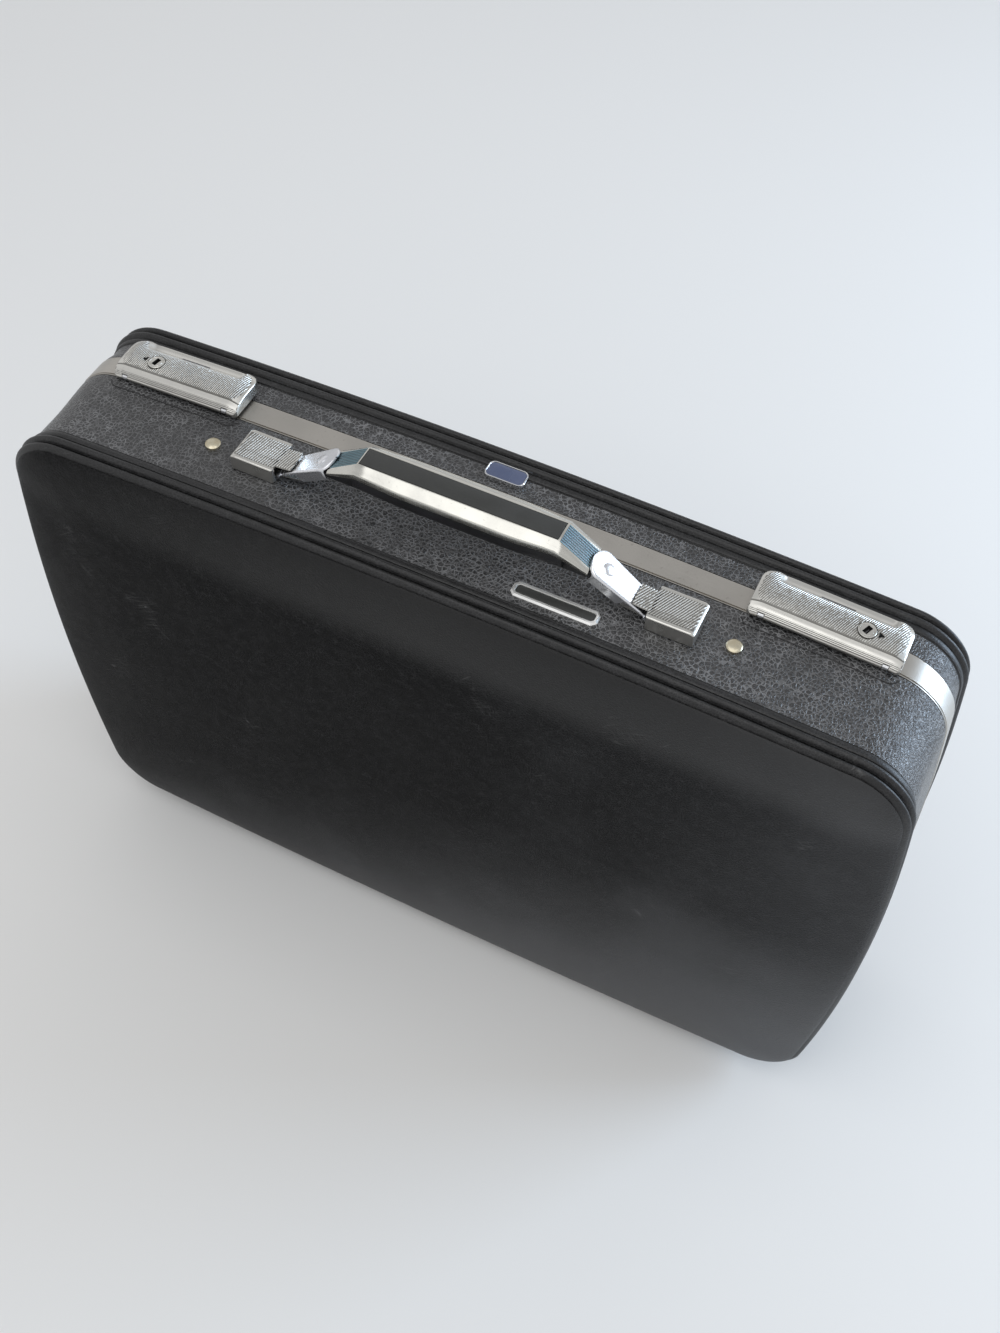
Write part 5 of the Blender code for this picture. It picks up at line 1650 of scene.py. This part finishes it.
mountRibbing = {
    "pitch": 0.00145,
    "samples": 44,
    "radius": 0.00042,
    "sink": 0.0001,
    "leastHeight": case["top"] + mount["top"] - 0.0003,
}
mountFloor = case["top"] - bowDrop((mount["inner"] + mount["outer"]) / 2) - 0.0024
for side, name in ((-1, "left"), (1, "right")):
    body = padSheet(
        "mountBody",
        (mount["inner"], handleY - mount["halfWidth"]),
        (mount["outer"], handleY + mount["halfWidth"]),
        mount["corner"],
        mountHeight,
        mountFloor,
        mount["wall"],
        satinFinish,
    )
    # the mouth's cut faces take the painted shade finish
    mouth = boxSketch(
        "mouth",
        (mount["inner"] - 0.002, handleY - mount["mouthHalfWidth"], mountFloor - 0.002),
        (
            mount["inner"] + mount["wall"] * mount["mouthDepth"],
            handleY + mount["mouthHalfWidth"],
            case["top"] + mount["mouthHeight"],
        ),
        shadedHollowFinish,
    )
    cutWith(body, mouth)
    tongue = padSheet(
        "mountTongue",
        (mount["inner"] - mount["tongueReach"], handleY - mount["tongueHalfWidth"]),
        (mount["inner"] + mount["tongueOverlap"], handleY + mount["tongueHalfWidth"]),
        mount["tongueCorner"],
        tongueHeight,
        None,
        mount["tongueThickness"],
        satinFinish,
    )
    coverPiece = merge(f"mountCover_{name}", body, tongue)
    ribbedTop = case["top"] + mount["top"] - 0.0002
    ribbedReach = mount["halfWidth"] - mount["ribBorder"]
    # painted shade on the cover's top between the ribs
    refinish(
        coverPiece,
        shadedValleyFinish,
        lambda place, normal: (
            place.z > ribbedTop and abs(place.y - handleY) < ribbedReach and normal.z > upward
        ),
    )
    lean = math.radians(mount["leanRight"] if side > 0 else mount["leanLeft"])
    ribLength = 2 * (mount["halfWidth"] - mount["ribBorder"])
    slip = side * ribLength / math.tan(lean)  # mirrored with the cover below
    length = mount["outer"] - mount["inner"] + mount["tongueReach"]
    startX = mount["inner"] - mount["tongueReach"] - max(slip, 0)
    start = (startX, handleY - ribLength / 2, case["top"])
    count = int((length + abs(slip) - 0.002) / mountRibbing["pitch"])
    run = (slip, ribLength, 0.0)
    field = layRibs(f"mountRibs_{name}", coverPiece, count, start, run, mountRibbing)
    for piece in (coverPiece, field):
        if side < 0:
            piece.data.transform(Matrix.Scale(-1, 4, (1, 0, 0)))
            piece.data.flip_normals()
    dress(coverPiece, "case_base", [f"handle_mount_{name}_cover"])
    dress(field, "case_base", (), 60)
print("mounts made")

# Rivets beside the mounts, the bare name plate and the plain enamel badge
rivet = {"x": 0.1487, "depth": 0.0362, "radius": 0.0042, "rise": 0.0013, "sink": 0.00211, "steps": 8}
for side, name in ((-1, "left"), (1, "right")):
    base = case["top"] - bowDrop(rivet["x"]) - rivet["sink"]
    profile = [(0, base - 0.0008), (rivet["radius"], base - 0.0008), (rivet["radius"], base + 0.0003)]
    for angle in spread(0, math.pi / 2, rivet["steps"])[1:]:
        height = base + 0.0003 + (rivet["rise"] - 0.0003) * math.sin(angle)
        profile.append((rivet["radius"] * 0.96 * math.cos(angle), height))
    head = lathe(f"rivetHead_{name}", profile, [rivetFinish])
    head.data.transform(Matrix.Translation((side * rivet["x"], yAt(rivet["depth"]), 0)))
    dress(head, "case_base", [f"rivet_{name}"])

plate = {
    "x": 0.0605,
    "depth": 0.0193,
    "halfLength": 0.0235,
    "halfWidth": 0.0049,
    "thickness": 0.0013,
    "sink": 0.00235,
    "cut": 0.0024,
    "chamfer": 0.0009,
    "rim": 0.0022,
    "fieldSink": 0.0006,
}


def cutRectangle(halfLength, halfWidth, corner, z):
    places = (
        (-halfLength + corner, -halfWidth),
        (halfLength - corner, -halfWidth),
        (halfLength, -halfWidth + corner),
        (halfLength, halfWidth - corner),
        (halfLength - corner, halfWidth),
        (-halfLength + corner, halfWidth),
        (-halfLength, halfWidth - corner),
        (-halfLength, -halfWidth + corner),
    )
    return [Vector((plate["x"] + x, yAt(plate["depth"]) + y, z)) for x, y in places]


plateFoot = case["top"] - bowDrop(plate["x"]) - plate["sink"]
plateTop = plateFoot + plate["thickness"]
steps = (
    (0, plateFoot - 0.0008),
    (0, plateTop - plate["chamfer"]),
    (plate["chamfer"], plateTop),
    (plate["rim"] - 0.0003, plateTop),
    (plate["rim"], plateTop - plate["fieldSink"]),
    (plate["rim"] + 0.0004, plateTop - plate["fieldSink"] - 0.0002),
)
sections = []
for inset, z in steps:
    corner = plate["cut"] - inset * 0.6
    sections.append(cutRectangle(plate["halfLength"] - inset, plate["halfWidth"] - inset, corner, z))
plateFrame = loftThrough("plateFrame", sections, [frameFinish])
dress(plateFrame, "case_base", ["name_plate_frame"], 20)
inset = plate["rim"] + 0.0001
fieldSections = []
fieldTop = plateTop - plate["fieldSink"]
for inward, z in ((0, fieldTop - 0.0004), (0, fieldTop + 0.0001), (0.0002, fieldTop + 0.0002)):
    reach = (plate["halfLength"] - inset - inward, plate["halfWidth"] - inset - inward)
    fieldSections.append(cutRectangle(*reach, plate["cut"] - inset * 0.6, z))
plateField = loftThrough("plateField", fieldSections, [inlayFinish])
dress(plateField, "case_base", ["name_plate_field"], 20)

badge = {
    "x": 0.0018,
    "depth": 0.0853,
    "halfLength": 0.0115,
    "halfWidth": 0.00575,
    "thickness": 0.0010,
    "sink": 0.0016,
    "corner": 0.0036,
    "cornerSteps": 8,
}


def roundedRectangle(halfLength, halfWidth, corner, z):
    points = []
    for sideX, sideY, first in ((1, 1, 0), (-1, 1, 90), (-1, -1, 180), (1, -1, 270)):
        for angle in spread(first, first + 90, badge["cornerSteps"]):
            turned = math.radians(angle)
            x = sideX * (halfLength - corner) + corner * math.cos(turned)
            y = sideY * (halfWidth - corner) + corner * math.sin(turned)
            points.append(Vector((badge["x"] + x, yAt(badge["depth"]) + y, z)))
    return points


badgeFoot = case["top"] - bowDrop(badge["x"]) - badge["sink"]
badgeTop = badgeFoot + badge["thickness"]


def badgeSections(steps):
    sections = []
    for inset, z in steps:
        corner = max(badge["corner"] - inset, 0.0008)
        sections.append(roundedRectangle(badge["halfLength"] - inset, badge["halfWidth"] - inset, corner, z))
    return sections


rimSteps = (
    (0, badgeFoot - 0.0009),
    (0, badgeTop - 0.0003),
    (0.0002, badgeTop),
    (0.0007, badgeTop),
    (0.0009, badgeTop - 0.0003),
)
enamelSteps = (
    (0.0008, badgeTop - 0.0005),
    (0.0008, badgeTop - 0.0003),
    (0.0016, badgeTop - 0.00012),
    (0.003, badgeTop - 0.00005),
)
badgeRim = loftThrough("badgeRim", badgeSections(rimSteps), [chromeFinish])
enamel = loftThrough("badgeEnamel", badgeSections(enamelSteps), [badgeFinish])
dress(merge("badgeDressed", badgeRim, enamel), "lid", ["badge_plate"])

# Underneath: rubber feet and hinge leaves with rivets
foot = {"steps": 6, "edge": 0.0012, "dish": 0.0006}
for body, depth, radius in (("base", 0.036, 0.0075), ("lid", 0.0845, 0.006)):
    for side, name in ((-1, "left"), (1, "right")):
        low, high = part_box(f"{body}_foot_{name}")
        profile = [(0, low.z + foot["dish"]), (radius * 0.45, low.z + foot["dish"]), (radius * 0.55, low.z)]
        for angle in spread(0, math.pi / 2, foot["steps"]):
            reach = radius - foot["edge"] * (1 - math.sin(angle))
            profile.append((reach, low.z + foot["edge"] * (1 - math.cos(angle))))
        profile += [(radius, high.z), (0, high.z)]
        rubber = lathe(f"{body}Foot_{name}", profile, [rubberFinish])
        rubber.data.transform(Matrix.Translation(((low.x + high.x) / 2, (low.y + high.y) / 2, 0)))
        dress(rubber, "case_base" if body == "base" else "lid", [f"{body}_foot_{name}"])

hinge = {"rivets": 3, "rivetRadius": 0.0014, "rivetRise": 0.0005}
for side, name in ((-1, "left"), (1, "right")):
    for body, leaf in (("case_base", "base_leaf"), ("lid", "lid_leaf")):
        low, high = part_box(f"hinge_{name}_{leaf}")
        middleY = lerp(low.y, high.y, 0.34 if leaf == "base_leaf" else 0.66)
        leafUnder = high.z - 0.001
        radius, buried = hinge["rivetRadius"], leafUnder + 0.0003
        profile = [(0, buried), (radius, buried), (radius, leafUnder)]
        for angle in (30, 60, 90):
            turned = math.radians(angle)
            profile.append((radius * math.cos(turned), leafUnder - hinge["rivetRise"] * math.sin(turned)))
        stud = lathe("stud", profile, [steelFinish], 24)
        step = (high.x - low.x) / hinge["rivets"]
        row = generate(
            f"hingeRivets_{name}_{leaf}",
            rowOfPieces,
            {
                "Piece": stud,
                "Count": hinge["rivets"],
                "Start": (low.x + step / 2, middleY, 0.0),
                "Step": (step, 0.0, 0.0),
                "Finish": steelFinish,
            },
        )
        bpy.data.objects.remove(stud)
        dress(row, body, ())
print("small pieces made")

# The model's own pieces that stay take a finish that suits them
keptNodes = {}
for name in ("left", "right"):
    keptNodes.update(
        {
            f"latch_{name}_hook": steelFinish,
            f"latch_{name}_pin": steelFinish,
            f"latch_{name}_base": chromeFinish,
            f"latch_{name}_spring": steelFinish,
            f"latch_{name}_keeper": chromeFinish,
            f"handle_pin_{name}": steelFinish,
            f"handle_mount_{name}_base": satinFinish,
            f"hinge_{name}_base_leaf": steelFinish,
            f"hinge_{name}_lid_leaf": steelFinish,
            f"hinge_{name}_pin": chromeFinish,
        }
    )
for nodeName, nodeFinish in keptNodes.items():
    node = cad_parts[nodeName]
    node.data.materials.clear()
    node.data.materials.append(nodeFinish)
print("kept pieces finished:", len(keptNodes))

# Room, lamps, floor and camera
world = bpy.data.worlds.new("room")
bpy.context.scene.world = world
world.use_nodes = True
sky = world.node_tree
backdrop = sky.nodes["Background"]
direction = addNode(sky, "ShaderNodeTexCoord")
height = addNode(sky, "ShaderNodeSeparateXYZ", {"Vector": (direction, "Generated")})
rise = ranged(sky, (height, "Z"), 0.2, 1.0, 0.0, 1.0, smooth=True)
join(sky, mixColour(sky, rise, (*light["skyLow"], 1), (*light["skyHigh"], 1)), backdrop, "Color")


def areaLight(name, place, size, power, colour=(1, 1, 1)):
    lamp = bpy.data.lights.new(name, "AREA")
    lamp.shape = "SQUARE"
    lamp.size = size
    lamp.energy = power
    lamp.color = colour
    obj = bpy.data.objects.new(name, lamp)
    bpy.context.scene.collection.objects.link(obj)
    obj.location = place
    obj.rotation_euler = (Vector(light["aim"]) - Vector(place)).to_track_quat("-Z", "Y").to_euler()


areaLight("overhead", light["overheadPlace"], light["overheadSize"], light["overheadPower"])
areaLight("window", light["windowPlace"], light["windowSize"], light["windowPower"], light["windowColour"])

floorFinish, floorTree, floorShader, floorPlace = startMaterial("paleFloor", 0.0, 0.1)
mottle = noiseAt(floorTree, (floorPlace, "Object"), 2.0, 3.0)
floorShade = (*[part * 0.985 for part in light["floorColour"]], 1)
floorTone = mixColour(floorTree, mottle, (*light["floorColour"], 1), floorShade)
join(floorTree, floorTone, floorShader, "Base Color")
floorShader.inputs["Roughness"].default_value = 0.8
floorSketch = bmesh.new()
bmesh.ops.create_grid(floorSketch, x_segments=2, y_segments=2, size=light["floorSize"] / 2)
floor = fromSketch("floor", floorSketch, [floorFinish], isSheet=True)

cameraData = bpy.data.cameras.new("camera")
cameraData.lens = camera["lens"]
cameraData.sensor_width = camera["sensor"]
cameraObject = bpy.data.objects.new("camera", cameraData)
bpy.context.scene.collection.objects.link(cameraObject)
cameraObject.location = camera["place"]
cameraObject.rotation_euler = [math.radians(angle) for angle in camera["turn"]]
bpy.context.scene.camera = cameraObject
bpy.context.scene.view_settings.view_transform = "Standard"
